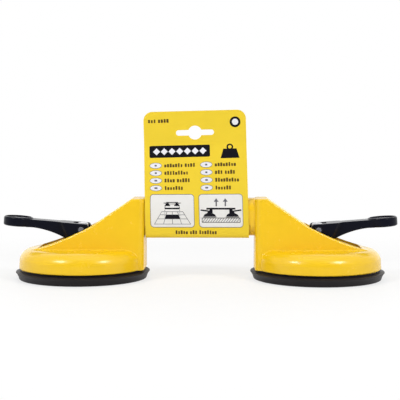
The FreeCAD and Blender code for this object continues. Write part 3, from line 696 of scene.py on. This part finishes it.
# ------------ suction pads
def rim_outline(pad, lip, foot_out, foot_in, inner):
    """The rim's outline, from under its foot outwards, over the lip and the top, and back inside."""
    edge = 0.5 * MM
    shoulder = lip - pad.shoulder
    neck = lip - pad.neck
    top = pad.rim_top
    half_flash = pad.lip_flash / 2
    bevel_start = (foot_out + 0.2 * MM, 0.9 * MM)
    bevel_end = (lip - 0.25 * MM, pad.lip_height - 0.35 * MM)
    upper_start = (lip - 0.3 * MM, pad.lip_height + 0.35 * MM)
    upper_end = (shoulder, pad.shoulder_height - 0.15 * MM)
    return [
        *arc_points((foot_out - edge, edge), edge, -90, -10, 4),
        *hollow_line(bevel_start, bevel_end, pad.bevel_hollow),
        (lip, pad.lip_height - half_flash),
        (lip, pad.lip_height + half_flash),
        *hollow_line(upper_start, upper_end, 0.1 * MM, 4),
        (shoulder - 0.4 * MM, pad.shoulder_height),
        (neck + 0.4 * MM, pad.shoulder_height + 0.1 * MM),
        (neck, pad.shoulder_height + 0.5 * MM),
        (neck, top - 0.3 * MM),
        (neck - 0.3 * MM, top),
        (inner + 1.2 * MM, top),
        (inner + 0.3 * MM, top - 0.3 * MM),
        (inner, top - 1.2 * MM),
        (inner, 2.4 * MM),
        (inner + 0.4 * MM, 1.4 * MM),
        (foot_in - 0.4 * MM, 0.7 * MM),
        (foot_in, 0.2 * MM),
        (foot_in + 0.8 * MM, 0.0),
    ]


def hub_outline(pad, under, seat, plate):
    """The hub's outline, from the middle of its ringed underside round to the seat of the steel plate."""
    start = 4.0 * MM
    foot, crest = 0.9 * MM, 0.45 * MM
    pitch = (pad.hub_radius - start) / pad.grip_rings
    flank = under - pad.ring_height * 0.85
    top = PLATE_HIGH[2]
    points = [(0.0, under)]
    for ring in range(pad.grip_rings):
        r = start + pitch * (ring + 0.35)
        points += [(r - foot, under), (r - crest, flank), (r, under - pad.ring_height)]
        points += [(r + crest, flank), (r + foot, under)]
    return points + [
        (pad.hub_radius - 0.6 * MM, under),
        (pad.hub_radius, under + 0.6 * MM),
        (pad.hub_radius, top - 0.8 * MM),
        (pad.hub_radius - 0.8 * MM, top),
        (plate, top),
        (plate, seat),
        (0.0, seat),
    ]


def pad_shapes(pad):
    """Outlines of the pad's rim, its two flexible skins and its hub, and the heights of the hub's faces."""
    bond = 0.3 * MM
    lip = (PAD_HIGH[0] - PAD_LOW[0]) / 2
    plate = (PLATE_HIGH[0] - PLATE_LOW[0]) / 2 + bond
    seat = PLATE_LOW[2] - bond
    under = seat - pad.web
    foot_out = lip - pad.foot_inset
    foot_in = foot_out - pad.foot_width
    inner = lip - pad.rim_width
    rim = rim_outline(pad, lip, foot_out, foot_in, inner)
    low = skin_line((foot_in + 0.6 * MM, 0.45 * MM), (pad.hub_radius - 1.0 * MM, under))
    low_skin = low + [(r, z + pad.skin) for r, z in reversed(low)]
    high = skin_line((inner + 0.6 * MM, 4.6 * MM), (pad.hub_radius - 0.8 * MM, seat + 0.6 * MM))
    high_skin = [(r, z - pad.skin) for r, z in high] + high[::-1]
    return rim, low_skin, high_skin, hub_outline(pad, under, seat, plate), under, seat


class LIFTER_OT_pads(bpy.types.Operator):
    """Turns the rubber pads: rims in the housings, hubs lifted by the studs, and skins between them"""

    bl_idname = "lifter.pads"
    bl_label = "Build Suction Pads"

    def execute(self, context):
        pad = context.scene.lifter_pad
        rim, low_skin, high_skin, hub, under, seat = pad_shapes(pad)
        for side, sign in SIDES.items():
            x = sign * PAD_X
            stud = "stud_" + side
            rim_piece = lathe(f"pad_rim_{side}", rim, x, pad.segments)
            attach(rim_piece, "frame")
            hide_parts("suction_pad_" + side)
            hub_piece = lathe(f"pad_hub_{side}", hub, x, pad.segments, closed=False)
            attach(hub_piece, stud)
            low_piece = lathe(f"pad_web_under_{side}", low_skin, x, pad.segments)
            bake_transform(low_piece)
            high_piece = lathe(f"pad_web_upper_{side}", high_skin, x, pad.segments)
            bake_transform(high_piece)
        return {"FINISHED"}


# ------------ retail card
class CardForm:
    """The bent card: where a point given across the card and up one leaf lies in space."""

    step = 0.25 * MM  # between the points of the traced leaf
    soften = 5.0 * MM  # half the length over which a leaf bends away from the handle
    join = 1.2 * MM  # half the length over which the leaves come together
    aside = 1.3 * MM  # from the middle of the card's box to the middle of its foot
    swell = 0.8 * MM  # how far a leaf bulges between the handle and the fold
    tilt_from = 55.0 * MM  # the height below which a line across the card stays level
    tilt_over = 60.0 * MM  # the rise over which such a line comes to lean as far as the card does

    def __init__(self, card):
        self.card = card
        self.low = CARD_LOW[2] + card.thickness / 2
        self.top = CARD_HIGH[2]
        self.half_depth = -CARD_LOW[1] - card.thickness / 2
        self.bend = card.crease + card.thickness / 2
        self.centre_low = (CARD_LOW[0] + CARD_HIGH[0]) / 2 + self.aside
        self.path = self.trace()

    def trace(self):
        """Points (distance, depth, height, heading) along one leaf, from under the handle upwards."""
        card = self.card
        flat = self.half_depth - self.bend
        upright = flat + self.bend * math.pi / 2
        leave = upright + (card.leave_height - self.low - self.bend)
        run = self.half_depth - card.thickness / 2
        slant_height = card.fold_height - card.leave_height
        lean_in = math.atan2(run, slant_height)
        fold = leave + math.hypot(run, slant_height)
        points = []
        distance = 0.0
        depth = 0.0
        height = self.low
        while height < self.top + 2.0 * MM:
            heading = math.radians(90) * held((distance - flat) / (upright - flat))
            leaving = held((distance - leave + self.soften) / (2 * self.soften))
            folding = held((distance - fold + self.join) / (2 * self.join))
            heading += lean_in * (eased(leaving) - folding)
            points.append((distance, depth, height, heading))
            depth += self.step * math.cos(heading)
            height += self.step * math.sin(heading)
            distance += self.step
        return points

    def along(self, height):
        """The distance up the leaf at which it reaches a height."""
        for distance, _, here, _ in self.path:
            if here >= height:
                return distance
        return self.path[-1][0]

    def place(self, across, up, lift, leaf):
        """The point of the FRONT or BACK leaf, lifted outwards from its middle surface."""
        card = self.card
        index = min(int(up / self.step), len(self.path) - 2)
        first, second = self.path[index], self.path[index + 1]
        t = (up - first[0]) / (second[0] - first[0])
        depth, height, heading = (a + (b - a) * t for a, b in zip(first[1:], second[1:]))
        depth += lift * math.sin(heading)
        height -= lift * math.cos(heading)
        slope = math.tan(card.lean)
        tilt = eased(held((height - self.tilt_from) / self.tilt_over))
        open_part = held((height - card.leave_height) / (card.fold_height - card.leave_height))
        bulge = math.sin(math.pi * open_part) * (1 - (2 * across / card.width) ** 2)
        x = self.centre_low + across - (height - self.low) * slope
        z = height + across * slope * tilt
        return Vector((x, leaf * (depth + self.swell * bulge), z))


def hanging_slot(card, centre):
    """Outline of the slot with a round eye in its middle."""
    half = card.slot_height / 2
    reach = card.slot_length / 2 - half
    meet = math.degrees(math.asin(half / card.slot_eye))
    points = arc_points((reach, centre), half, -90, 90, 10)
    points += arc_points((0.0, centre), card.slot_eye, meet, 180 - meet, 14)
    points += arc_points((-reach, centre), half, 90, 270, 10)
    points += arc_points((0.0, centre), card.slot_eye, 180 + meet, 360 - meet, 14)
    return points


def flat_faces(work, loops, pitch):
    """Fills an outline with the others as holes, and cuts the faces on one grid that all sheets share."""
    edges = []
    for loop in loops:
        corners = [work.verts.new((x, y, 0.0)) for x, y in loop]
        edges += [work.edges.new(pair) for pair in zip(corners, corners[1:] + corners[:1])]
    bmesh.ops.triangle_fill(work, use_beauty=True, use_dissolve=False, edges=edges, normal=(0, 0, 1))
    for axis in (0, 1):
        values = [corner[axis] for corner in loops[0]]
        way = (1 - axis, axis, 0)
        for i in range(math.ceil(min(values) / pitch[axis]), math.floor(max(values) / pitch[axis]) + 1):
            point = (i * pitch[axis] * way[0], i * pitch[axis] * way[1], 0)
            parts = [*work.faces, *work.edges, *work.verts]
            bmesh.ops.bisect_plane(work, geom=parts, plane_co=point, plane_no=way)


def bent_piece(name, form, outlines, lift, thickness, materials, leaves):
    """A thin sheet from flat outlines, each with its holes, bent to the card's form and thickened."""
    work = bmesh.new()
    for loops in outlines:
        part = bmesh.new()
        flat_faces(part, loops, pitch=(5.0 * MM, 2.0 * MM))
        for leaf in leaves:
            places = {v: work.verts.new(form.place(v.co.x, v.co.y, lift, leaf)) for v in part.verts}
            for face in part.faces:
                corners = [places[v] for v in face.verts]
                work.faces.new(corners if leaf == FRONT else corners[::-1])
        part.free()
    bmesh.ops.remove_doubles(work, verts=work.verts, dist=1e-6)
    work.normal_update()
    mesh = bpy.data.meshes.new(name)
    work.to_mesh(mesh)
    work.free()
    for material in materials:
        mesh.materials.append(finish(material))
    thing = new_object(name, mesh)
    solid = thing.modifiers.new("thickness", "SOLIDIFY")
    solid.thickness = thickness
    solid.offset = 0.0
    solid.material_offset_rim = len(materials) - 1
    thing = baked(thing, name)
    smooth(thing.data, 40)
    return thing


class LIFTER_OT_card(bpy.types.Operator):
    """Folds the retail card round the handle and punches its hanging slot"""

    bl_idname = "lifter.card"
    bl_label = "Build Retail Card"

    def execute(self, context):
        card = context.scene.lifter_card
        form = CardForm(card)
        half = card.width / 2
        top = form.along(form.top - 1.2 * MM)
        side, high = half - card.corner, top - card.corner
        outline = [(-half, 0.0), (half, 0.0)]
        outline += arc_points((side, high), card.corner, 0, 90, 10)
        outline += arc_points((-side, high), card.corner, 90, 180, 10)
        sheet = [outline, hanging_slot(card, top - card.slot_drop)]
        faces = ("Printed Card", "Card Core")
        piece = bent_piece("retail_card", form, [sheet], 0.0, card.thickness, faces, leaves=(FRONT, BACK))
        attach(piece, "frame")
        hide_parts("hang_card")
        return {"FINISHED"}


# ------------ print on the card
# Blocks in each word of each row.
WORD_LENGTHS = {
    "left": ((7, 4), (9,), (4, 5), (7,)),
    "right": ((8,), (3, 4), (9,), (6,)),
}
BACK_LENGTHS = (
    (6, 9, 4, 8, 9), (8, 3, 7, 9, 5), (4, 10, 6), (7, 7, 5, 8, 3), (9, 5, 8, 6, 4),
    (5, 8, 3, 9), (8, 6, 10, 4, 6), (3, 9, 7, 5, 7), (6, 4, 8, 9, 4), (9, 7, 5),
)


class LIFTER_OT_card_print(bpy.types.Operator):
    """Prints the card: tiled bands, ovals beside rows of blocks, a weight, two pictures and the back"""

    bl_idname = "lifter.card_print"
    bl_label = "Print Retail Card"

    level_step = 0.9  # from one level of print to the next, as a share of the ink's thickness

    def execute(self, context):
        self.card = context.scene.lifter_card
        self.form = CardForm(self.card)
        self.print_band("band", x0=-41.0, x1=13.0, low=108.6, high=119.2, tiles=7, across=6.4)
        self.print_rows()
        self.print_weight()
        self.print_panels()
        self.print_small_marks()
        self.print_back()
        return {"FINISHED"}

    def ink(self, name, outlines, material, level=1, leaf=FRONT):
        """Prints outlines on one leaf, the back one mirrored. A higher level lies over a lower one."""
        card = self.card
        outlines = [[[(-leaf * x, y) for x, y in loop] for loop in loops] for loops in outlines]
        lift = card.thickness / 2 + card.ink_thickness * (level - 0.5) * self.level_step
        piece = bent_piece(name, self.form, outlines, lift, card.ink_thickness, (material,), leaves=(leaf,))
        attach(piece, "frame")

    def height(self, millimetres):
        """How far up the leaf a height above the tile lies."""
        return self.form.along(millimetres * MM)

    def box(self, x0, z0, x1, z1, radius):
        """Outline of a rounded box, in millimetres across the card and above the tile."""
        return rounded_box(x0 * MM, self.height(z0), x1 * MM, self.height(z1), radius * MM)

    def repeated(self, shape, centre, material, **inputs):
        """Outlines of a flat shape repeated by the Rows group."""
        mesh = bpy.data.meshes.new("repeat")
        mesh.from_pydata([(x, y, 0.0) for x, y in shape], [], [list(range(len(shape)))])
        thing = run_group("repeat", mesh, "Rows", Material=finish(material), **inputs)
        corners = [(v.co.x + centre[0], v.co.y + centre[1]) for v in thing.data.vertices]
        loops = [[[corners[i] for i in face.vertices]] for face in thing.data.polygons]
        discard(thing)
        return loops

    def blocks(self, start, height, lengths, seed, scale=1.0):
        """Plain blocks of uneven width and height in groups along a line, as a stand-in for words."""
        unit = MM * scale
        pitch = 2.4 * unit
        half, tall = 0.95 * unit, 3.7 * unit
        shape = rounded_box(-half, 0.0, half, tall, 0.35 * unit, 2)
        loops = []
        for group, count in enumerate(lengths):
            centre = (start + pitch * count / 2, height - 1.7 * unit)
            loops += self.repeated(
                shape, centre, "Brown Ink", Columns=count, Rows=1, Column_Pitch=pitch,
                Narrowest=0.68, Lowest=0.66, Seed=seed + group)
            start += pitch * (count + 0.6)
        return loops

    def print_band(self, name, x0, x1, low, high, tiles, across, leaf=FRONT):
        """A dark band with a course of pale tiles standing on their corners."""
        self.ink("print_" + name, [[self.box(x0, low, x1, high, 1.2)]], "Dark Ink", leaf=leaf)
        centre = ((x0 + x1) / 2 * MM, (self.height(low) + self.height(high)) / 2)
        half = across / 2 * MM
        tile = [(-half, 0.0), (0.0, -half), (half, 0.0), (0.0, half)]
        course = self.repeated(
            tile, centre, "Pale Ink", Columns=tiles, Rows=1, Column_Pitch=(across + 0.5) * MM)
        self.ink("print_" + name + "_tiles", course, "Pale Ink", 2, leaf=leaf)

    def print_rows(self):
        """Two columns of pale ovals, each with a rim, a dash and a row of blocks beside it."""
        pitch = 6.95 * MM
        first = self.height(101.6)
        middle_row = first - 1.5 * pitch
        dash = rounded_box(-1.5 * MM, -0.75 * MM, 1.5 * MM, 0.75 * MM, 0.4 * MM, 2)
        layers = (
            ("print_oval_rims_", oval(0, 0, 10.9 * MM, 5.5 * MM), "Line Ink", {}),
            ("print_ovals_", oval(0, 0, 10.1 * MM, 4.7 * MM), "Pale Ink", {}),
            ("print_oval_dashes_", dash, "Line Ink", {"Narrowest": 0.6, "Seed": 7}),
        )
        for side, x in (("left", -35.6), ("right", 9.4)):
            for level, (name, shape, material, thinning) in enumerate(layers, 1):
                column = self.repeated(
                    shape, (x * MM, middle_row), material, Columns=1, Rows=4, Row_Pitch=pitch, **thinning)
                self.ink(name + side, column, material, level)
            words = []
            for row, lengths in enumerate(WORD_LENGTHS[side]):
                words += self.blocks((x + 7.4) * MM, first - row * pitch, lengths, seed=4 * row + 3)
            self.ink("print_words_" + side, words, "Brown Ink")

    def print_weight(self):
        """A plain hanging weight with an eye."""
        low = self.height(106.9)
        top = low + 8.6 * MM
        centre = 30.8 * MM
        foot, head = 8.4 * MM, 5.9 * MM
        body = [(centre - foot, low), (centre + foot, low), (centre + head, top), (centre - head, top)]
        eye = top + 1.6 * MM
        ring = [oval(centre, eye, across * MM, across * MM) for across in (6.0, 3.2)]
        self.ink("print_weight", [[body], ring], "Dark Ink")

    def print_panels(self):
        """Two pale panels with a thin rim, and a picture on each."""
        low, high, rim = 46.6, 76.0, 0.45
        panels = {"left": (-41.0, -2.0), "right": (2.0, 41.0)}
        for side, (x0, x1) in panels.items():
            self.ink("print_panel_rim_" + side, [[self.box(x0, low, x1, high, 3.0)]], "Line Ink")
            fill = self.box(x0 + rim, low + rim, x1 - rim, high - rim, 2.6)
            self.ink("print_panel_" + side, [[fill]], "Grey Ink", 2)
        self.tile_picture(sum(panels["left"]) / 2 * MM, low)
        self.lifter_picture(sum(panels["right"]) / 2 * MM, low)

    def tile_picture(self, centre, low):
        """A floor of square tiles seen in perspective, with one tile lifted out of it."""
        base, far = self.height(low + 3.0), self.height(low + 14.0)
        half = 16.0 * MM
        line = 0.4 * MM
        rows = (0.0, 0.42, 0.75, 1.0)

        def corner(column, row):
            """Where the tile joints cross, with the columns drawing together as they go back."""
            return centre + half * (column / 2 - 1) * (1 - 0.42 * row), base + (far - base) * row

        joints = []
        for column in range(5):
            joints += strokes([corner(column, 0.0), corner(column, 1.0)], line)
        for row in rows:
            joints += strokes([corner(0, row), corner(4, row)], line)
        gap = [corner(1, rows[1]), corner(3, rows[1]), corner(3, rows[2]), corner(1, rows[2])]
        rise = Vector((0.0, 9.6 * MM))
        tile = [tuple(Vector(point) + rise) for point in gap]
        edge = [*tile[:2], *[(x, y - 1.1 * MM) for x, y in tile[1::-1]]]
        for foot, head in ((gap[0], edge[3]), (gap[1], edge[2])):
            for step in range(4):
                start = foot[1] + (head[1] - foot[1]) * (step + 0.3) / 4
                joints += strokes([(foot[0], start), (foot[0], start + 0.7 * MM)], 0.35 * MM)
        self.ink("print_joints", [[bar] for bar in joints], "Line Ink", 3)
        self.ink("print_gap", [[gap], [edge]], "Dark Ink", 4)
        self.ink("print_tile", [[bar] for bar in strokes(tile, line, closed=True)], "Dark Ink", 4)
        stand = (tile[0][1] + tile[2][1]) / 2
        self.ink("print_small_lifter", self.lifter_shapes(centre, stand, 0.42), "Dark Ink", 5)

    def lifter_shapes(self, centre, base, scale):
        """Outlines of a lifter seen from the side: two cups, two levers and the handle."""
        unit = MM * scale
        shapes = []
        for side in (-1, 1):
            cup_x = centre + side * 10.0 * unit
            cup = arc_points((0.0, 0.0), 1.0, 0, 180, 12)
            tower = [(2.4, 3.6), (-2.6, 3.6), (-2.6, 8.4), (-1.4, 8.4)]
            lever = [(cup_x + side * x * unit, base + y * unit) for x, y in ((0.6, 5.4), (7.4, 6.4))]
            shapes.append([(cup_x + 5.4 * unit * x, base + 0.9 * unit + 3.0 * unit * y) for x, y in cup])
            shapes.append(rounded_box(
                cup_x - 6.0 * unit, base, cup_x + 6.0 * unit, base + 0.7 * unit, 0.3 * unit, 2))
            shapes.append([(cup_x + side * x * unit, base + y * unit) for x, y in tower[::side]])
            shapes += strokes(lever, 1.2 * unit)
        grip = base + 7.6 * unit
        shapes += strokes([(centre - 12.0 * unit, grip), (centre + 12.0 * unit, grip)], 1.5 * unit)
        return [[shape] for shape in shapes]

    def lifter_picture(self, centre, low):
        """The lifter on a slab with a hatched cut edge, and two arrows upwards over it."""
        base = self.height(low + 9.0)
        slab = rounded_box(centre - 17 * MM, base - 4.6 * MM, centre + 17 * MM, base - 0.3 * MM, 0.3 * MM, 2)
        hollow = rounded_box(
            centre - 16.5 * MM, base - 4.1 * MM, centre + 16.5 * MM, base - 0.8 * MM, 0.3 * MM, 2)
        stroke = strokes([(-1.2 * MM, -1.5 * MM), (1.2 * MM, 1.5 * MM)], 0.45 * MM)[0]
        hatch = self.repeated(
            stroke, (centre, base - 2.45 * MM), "Line Ink", Columns=14, Rows=1, Column_Pitch=2.3 * MM)
        self.ink("print_slab", [[slab, hollow]], "Dark Ink", 3)
        self.ink("print_hatch", hatch, "Line Ink", 3)
        self.ink("print_lifter", self.lifter_shapes(centre, base, 1.0), "Dark Ink", 3)
        foot = base + 10.4 * MM
        head = foot + 3.4 * MM
        arrows = []
        for x in (centre - 4.0 * MM, centre + 4.0 * MM):
            arrows += strokes([(x, foot), (x, foot + 3.2 * MM)], 1.2 * MM)
            arrows.append([(x - 2.2 * MM, head), (x + 2.2 * MM, head), (x, foot + 6.4 * MM)])
        self.ink("print_arrows", [[shape] for shape in arrows], "Line Ink", 3)

    def print_small_marks(self):
        """Rows of blocks in a top corner and at the foot, and a dark ring in the other top corner."""
        top = self.blocks(-42.0 * MM, self.height(141.4), (3, 4), seed=31, scale=1.04)
        foot = self.blocks(-19.4 * MM, self.height(42.4), (5, 3, 7), seed=41, scale=0.95)
        centre = (36.0 * MM, self.height(139.0))
        self.ink("print_words_top", top, "Brown Ink")
        self.ink("print_words_foot", foot, "Brown Ink")
        self.ink("print_disc", [[oval(*centre, 9.6 * MM, 9.6 * MM, 40)]], "Dark Ink")
        self.ink("print_disc_centre", [[oval(*centre, 5.6 * MM, 5.6 * MM, 32)]], "Pale Ink", 2)

    def print_back(self):
        """The back leaf: a band with small tiles, and a pale panel filled with lines of small blocks."""
        self.print_band(
            "back_band", x0=-40.0, x1=40.0, low=108.6, high=114.6, tiles=22, across=2.9, leaf=BACK)
        self.ink("print_back_rim", [[self.box(-40.0, 46.6, 40.0, 104.0, 3.0)]], "Line Ink", leaf=BACK)
        self.ink("print_back_panel", [[self.box(-39.6, 47.0, 39.6, 103.6, 2.6)]], "Grey Ink", 2, leaf=BACK)
        words = []
        for row, lengths in enumerate(BACK_LENGTHS):
            height = self.height(99.2) - row * 5.2 * MM
            words += self.blocks(-36.0 * MM, height, lengths, seed=61 + 5 * row, scale=0.72)
        self.ink("print_back_words", words, "Line Ink", 3, leaf=BACK)


# ------------ finishes of the CAD pieces
class LIFTER_OT_mouldings(bpy.types.Operator):
    """Gives the yellow, black and natural plastic pieces their finishes"""

    bl_idname = "lifter.mouldings"
    bl_label = "Finish Mouldings"

    def execute(self, context):
        for node in ("frame_moulding", "handle_cover"):
            refinish(node, "Yellow Housing Plastic")
        for side in SIDES:
            refinish("lever_" + side, "Black Lever Plastic")
            refinish("guide_bush_" + side, "Natural Bush Plastic")
        return {"FINISHED"}


class LIFTER_OT_metalwork(bpy.types.Operator):
    """Gives the studs, pins, plates, nuts, clips and screws their finishes"""

    bl_idname = "lifter.metalwork"
    bl_label = "Finish Metalwork"

    def execute(self, context):
        refinish("cover_screws", "Zinc Plated Steel")
        for side in SIDES:
            refinish("draw_stud_" + side, "Turned Steel")
            refinish("pivot_pin_" + side, "Oiled Pin Steel")
            refinish("pin_clips_" + side, "Blackened Spring Steel")
            for node in ("wear_plate_", "wear_plate_screws_", "pad_plate_", "stud_nut_"):
                refinish(node + side, "Zinc Plated Steel")
        return {"FINISHED"}


# ------------ stage
class LIFTER_OT_stage(bpy.types.Operator):
    """Sets the floor, white room, lamps and camera"""

    bl_idname = "lifter.stage"
    bl_label = "Set Stage"

    def execute(self, context):
        stage = context.scene.lifter_stage
        self.floor(stage)
        self.room(context.scene, stage)
        target = Vector((0.1 * MM, 0.0, stage.target_height))
        for name, place, size, energy in (
                ("lamp_left", (-0.63, -0.62, 0.72), 0.22, stage.lamp_energy),
                ("lamp_right", (0.63, -0.62, 0.72), 0.22, stage.lamp_energy),
                ("lamp_back_left", (-0.6, 0.95, 0.5), 1.1, stage.back_energy),
                ("lamp_back_right", (0.6, 0.95, 0.5), 1.1, stage.back_energy),
                ("lamp_top", (0.0, -0.15, 1.3), 0.9, stage.top_energy)):
            self.lamp(name, place, size, energy, target)
        self.camera(context.scene, stage, target)
        context.scene.view_settings.view_transform = "Standard"
        return {"FINISHED"}

    def floor(self, stage):
        """A pale floor, plain white where no shadow falls and clear from below."""
        half, height = 3.0, -0.3 * MM
        mesh = bpy.data.meshes.new("floor")
        corners = [(x * half, y * half, height) for x, y in ((-1, -1), (1, -1), (1, 1), (-1, 1))]
        mesh.from_pydata(corners, [], [(0, 1, 2, 3)])
        material, tree, shader, place = blank_material("Pale Floor", Roughness=0.6)
        feed(tree, shader, Base_Color=tinted(tree, (0.9, 0.9, 0.9), noise(tree, place, 60.0), 0.99, 1.01))
        white = add(tree, "ShaderNodeEmission", Color=(1.0, 1.0, 1.0, 1.0), Strength=1.0)
        shadowed = ranged(
            tree, vector_length(tree, place), "SMOOTHSTEP", From_Min=stage.shadow_reach,
            From_Max=2 * stage.shadow_reach, To_Min=stage.shadow, To_Max=0.0)
        ray = tree.nodes.new("ShaderNodeLightPath").outputs
        seen = highest(tree, ray["Is Camera Ray"], ray["Is Glossy Ray"], ray["Is Transmission Ray"])
        clean = maths(tree, "MULTIPLY", seen, maths(tree, "SUBTRACT", 1.0, shadowed))
        above = add(tree, "ShaderNodeMixShader", _0=clean, _1=shader, _2=white)
        from_below = tree.nodes.new("ShaderNodeNewGeometry").outputs["Backfacing"]
        clear = tree.nodes.new("ShaderNodeBsdfTransparent")
        one_sided = add(tree, "ShaderNodeMixShader", _0=from_below, _1=above, _2=clear)
        feed(tree, tree.nodes["Material Output"], Surface=one_sided)
        mesh.materials.append(material)
        new_object("floor", mesh)

    def room(self, scene, stage):
        """A white room, whose side behind the camera is darker in reflections."""
        scene.world = bpy.data.worlds.new("White Room")
        scene.world.use_nodes = True
        tree = scene.world.node_tree
        ray = tree.nodes.new("ShaderNodeLightPath").outputs
        camera, glossy, clear = ray["Is Camera Ray"], ray["Is Glossy Ray"], ray["Is Transmission Ray"]
        way = tree.nodes.new("ShaderNodeTexCoord").outputs["Generated"]
        depth = add(tree, "ShaderNodeSeparateXYZ", Vector=way).outputs["Y"]
        wall = ranged(
            tree, depth, "SMOOTHSTEP", From_Min=-0.95, From_Max=-0.25, To_Min=stage.front_wall, To_Max=1.0)
        seen = highest(tree, camera, maths(tree, "MULTIPLY", glossy, wall), clear)
        lighting = maths(tree, "SUBTRACT", 1.0, highest(tree, camera, glossy, clear))
        strength = maths(tree, "MULTIPLY_ADD", lighting, stage.ambient, seen)
        feed(tree, tree.nodes["Background"], Color=(1.0, 1.0, 1.0, 1.0), Strength=strength)

    def lamp(self, name, place, size, energy, target):
        light = bpy.data.lights.new(name, "AREA")
        light.size = size
        light.energy = energy
        lamp = new_object(name, light)
        lamp.location = place
        lamp.rotation_euler = (target - Vector(place)).to_track_quat("-Z", "Y").to_euler()

    def camera(self, scene, stage, target):
        lens = bpy.data.cameras.new("camera")
        lens.sensor_width = 36.0
        lens.lens = stage.focal_length
        level = math.cos(stage.elevation)
        aside, forward = math.sin(stage.azimuth) * level, math.cos(stage.azimuth) * level
        back = Vector((aside, -forward, math.sin(stage.elevation)))
        scene.camera = new_object("camera", lens)
        scene.camera.location = target + back * stage.distance
        scene.camera.rotation_euler = (math.pi / 2 - stage.elevation, 0.0, stage.azimuth)


# ------------ panel and registration
OPERATORS = (
    LIFTER_OT_mouldings,
    LIFTER_OT_metalwork,
    LIFTER_OT_pads,
    LIFTER_OT_card,
    LIFTER_OT_card_print,
    LIFTER_OT_stage,
)


class LIFTER_PT_panel(bpy.types.Panel):
    """Lists the lifter's sizes, colours and steps"""

    bl_idname = "LIFTER_PT_panel"
    bl_label = "Tile Suction Lifter"
    bl_space_type = "VIEW_3D"
    bl_region_type = "UI"
    bl_category = "Lifter"

    def draw(self, context):
        for name, group in GROUPS.items():
            box = self.layout.box()
            box.label(text=group.__doc__)
            for key in group.__annotations__:
                box.prop(getattr(context.scene, name), key)
        for operator in OPERATORS:
            self.layout.operator(operator.bl_idname)


CLASSES = (*GROUPS.values(), *OPERATORS, LIFTER_PT_panel)


def register():
    for each in CLASSES:
        bpy.utils.register_class(each)
    for name, group in GROUPS.items():
        setattr(bpy.types.Scene, name, PointerProperty(type=group))


def unregister():
    for name in GROUPS:
        delattr(bpy.types.Scene, name)
    for each in reversed(CLASSES):
        bpy.utils.unregister_class(each)


def main():
    register()
    bpy.ops.lifter.mouldings()
    bpy.ops.lifter.metalwork()
    bpy.ops.lifter.pads()
    bpy.ops.lifter.card()
    bpy.ops.lifter.card_print()
    bpy.ops.lifter.stage()


if __name__ == "__main__":
    main()
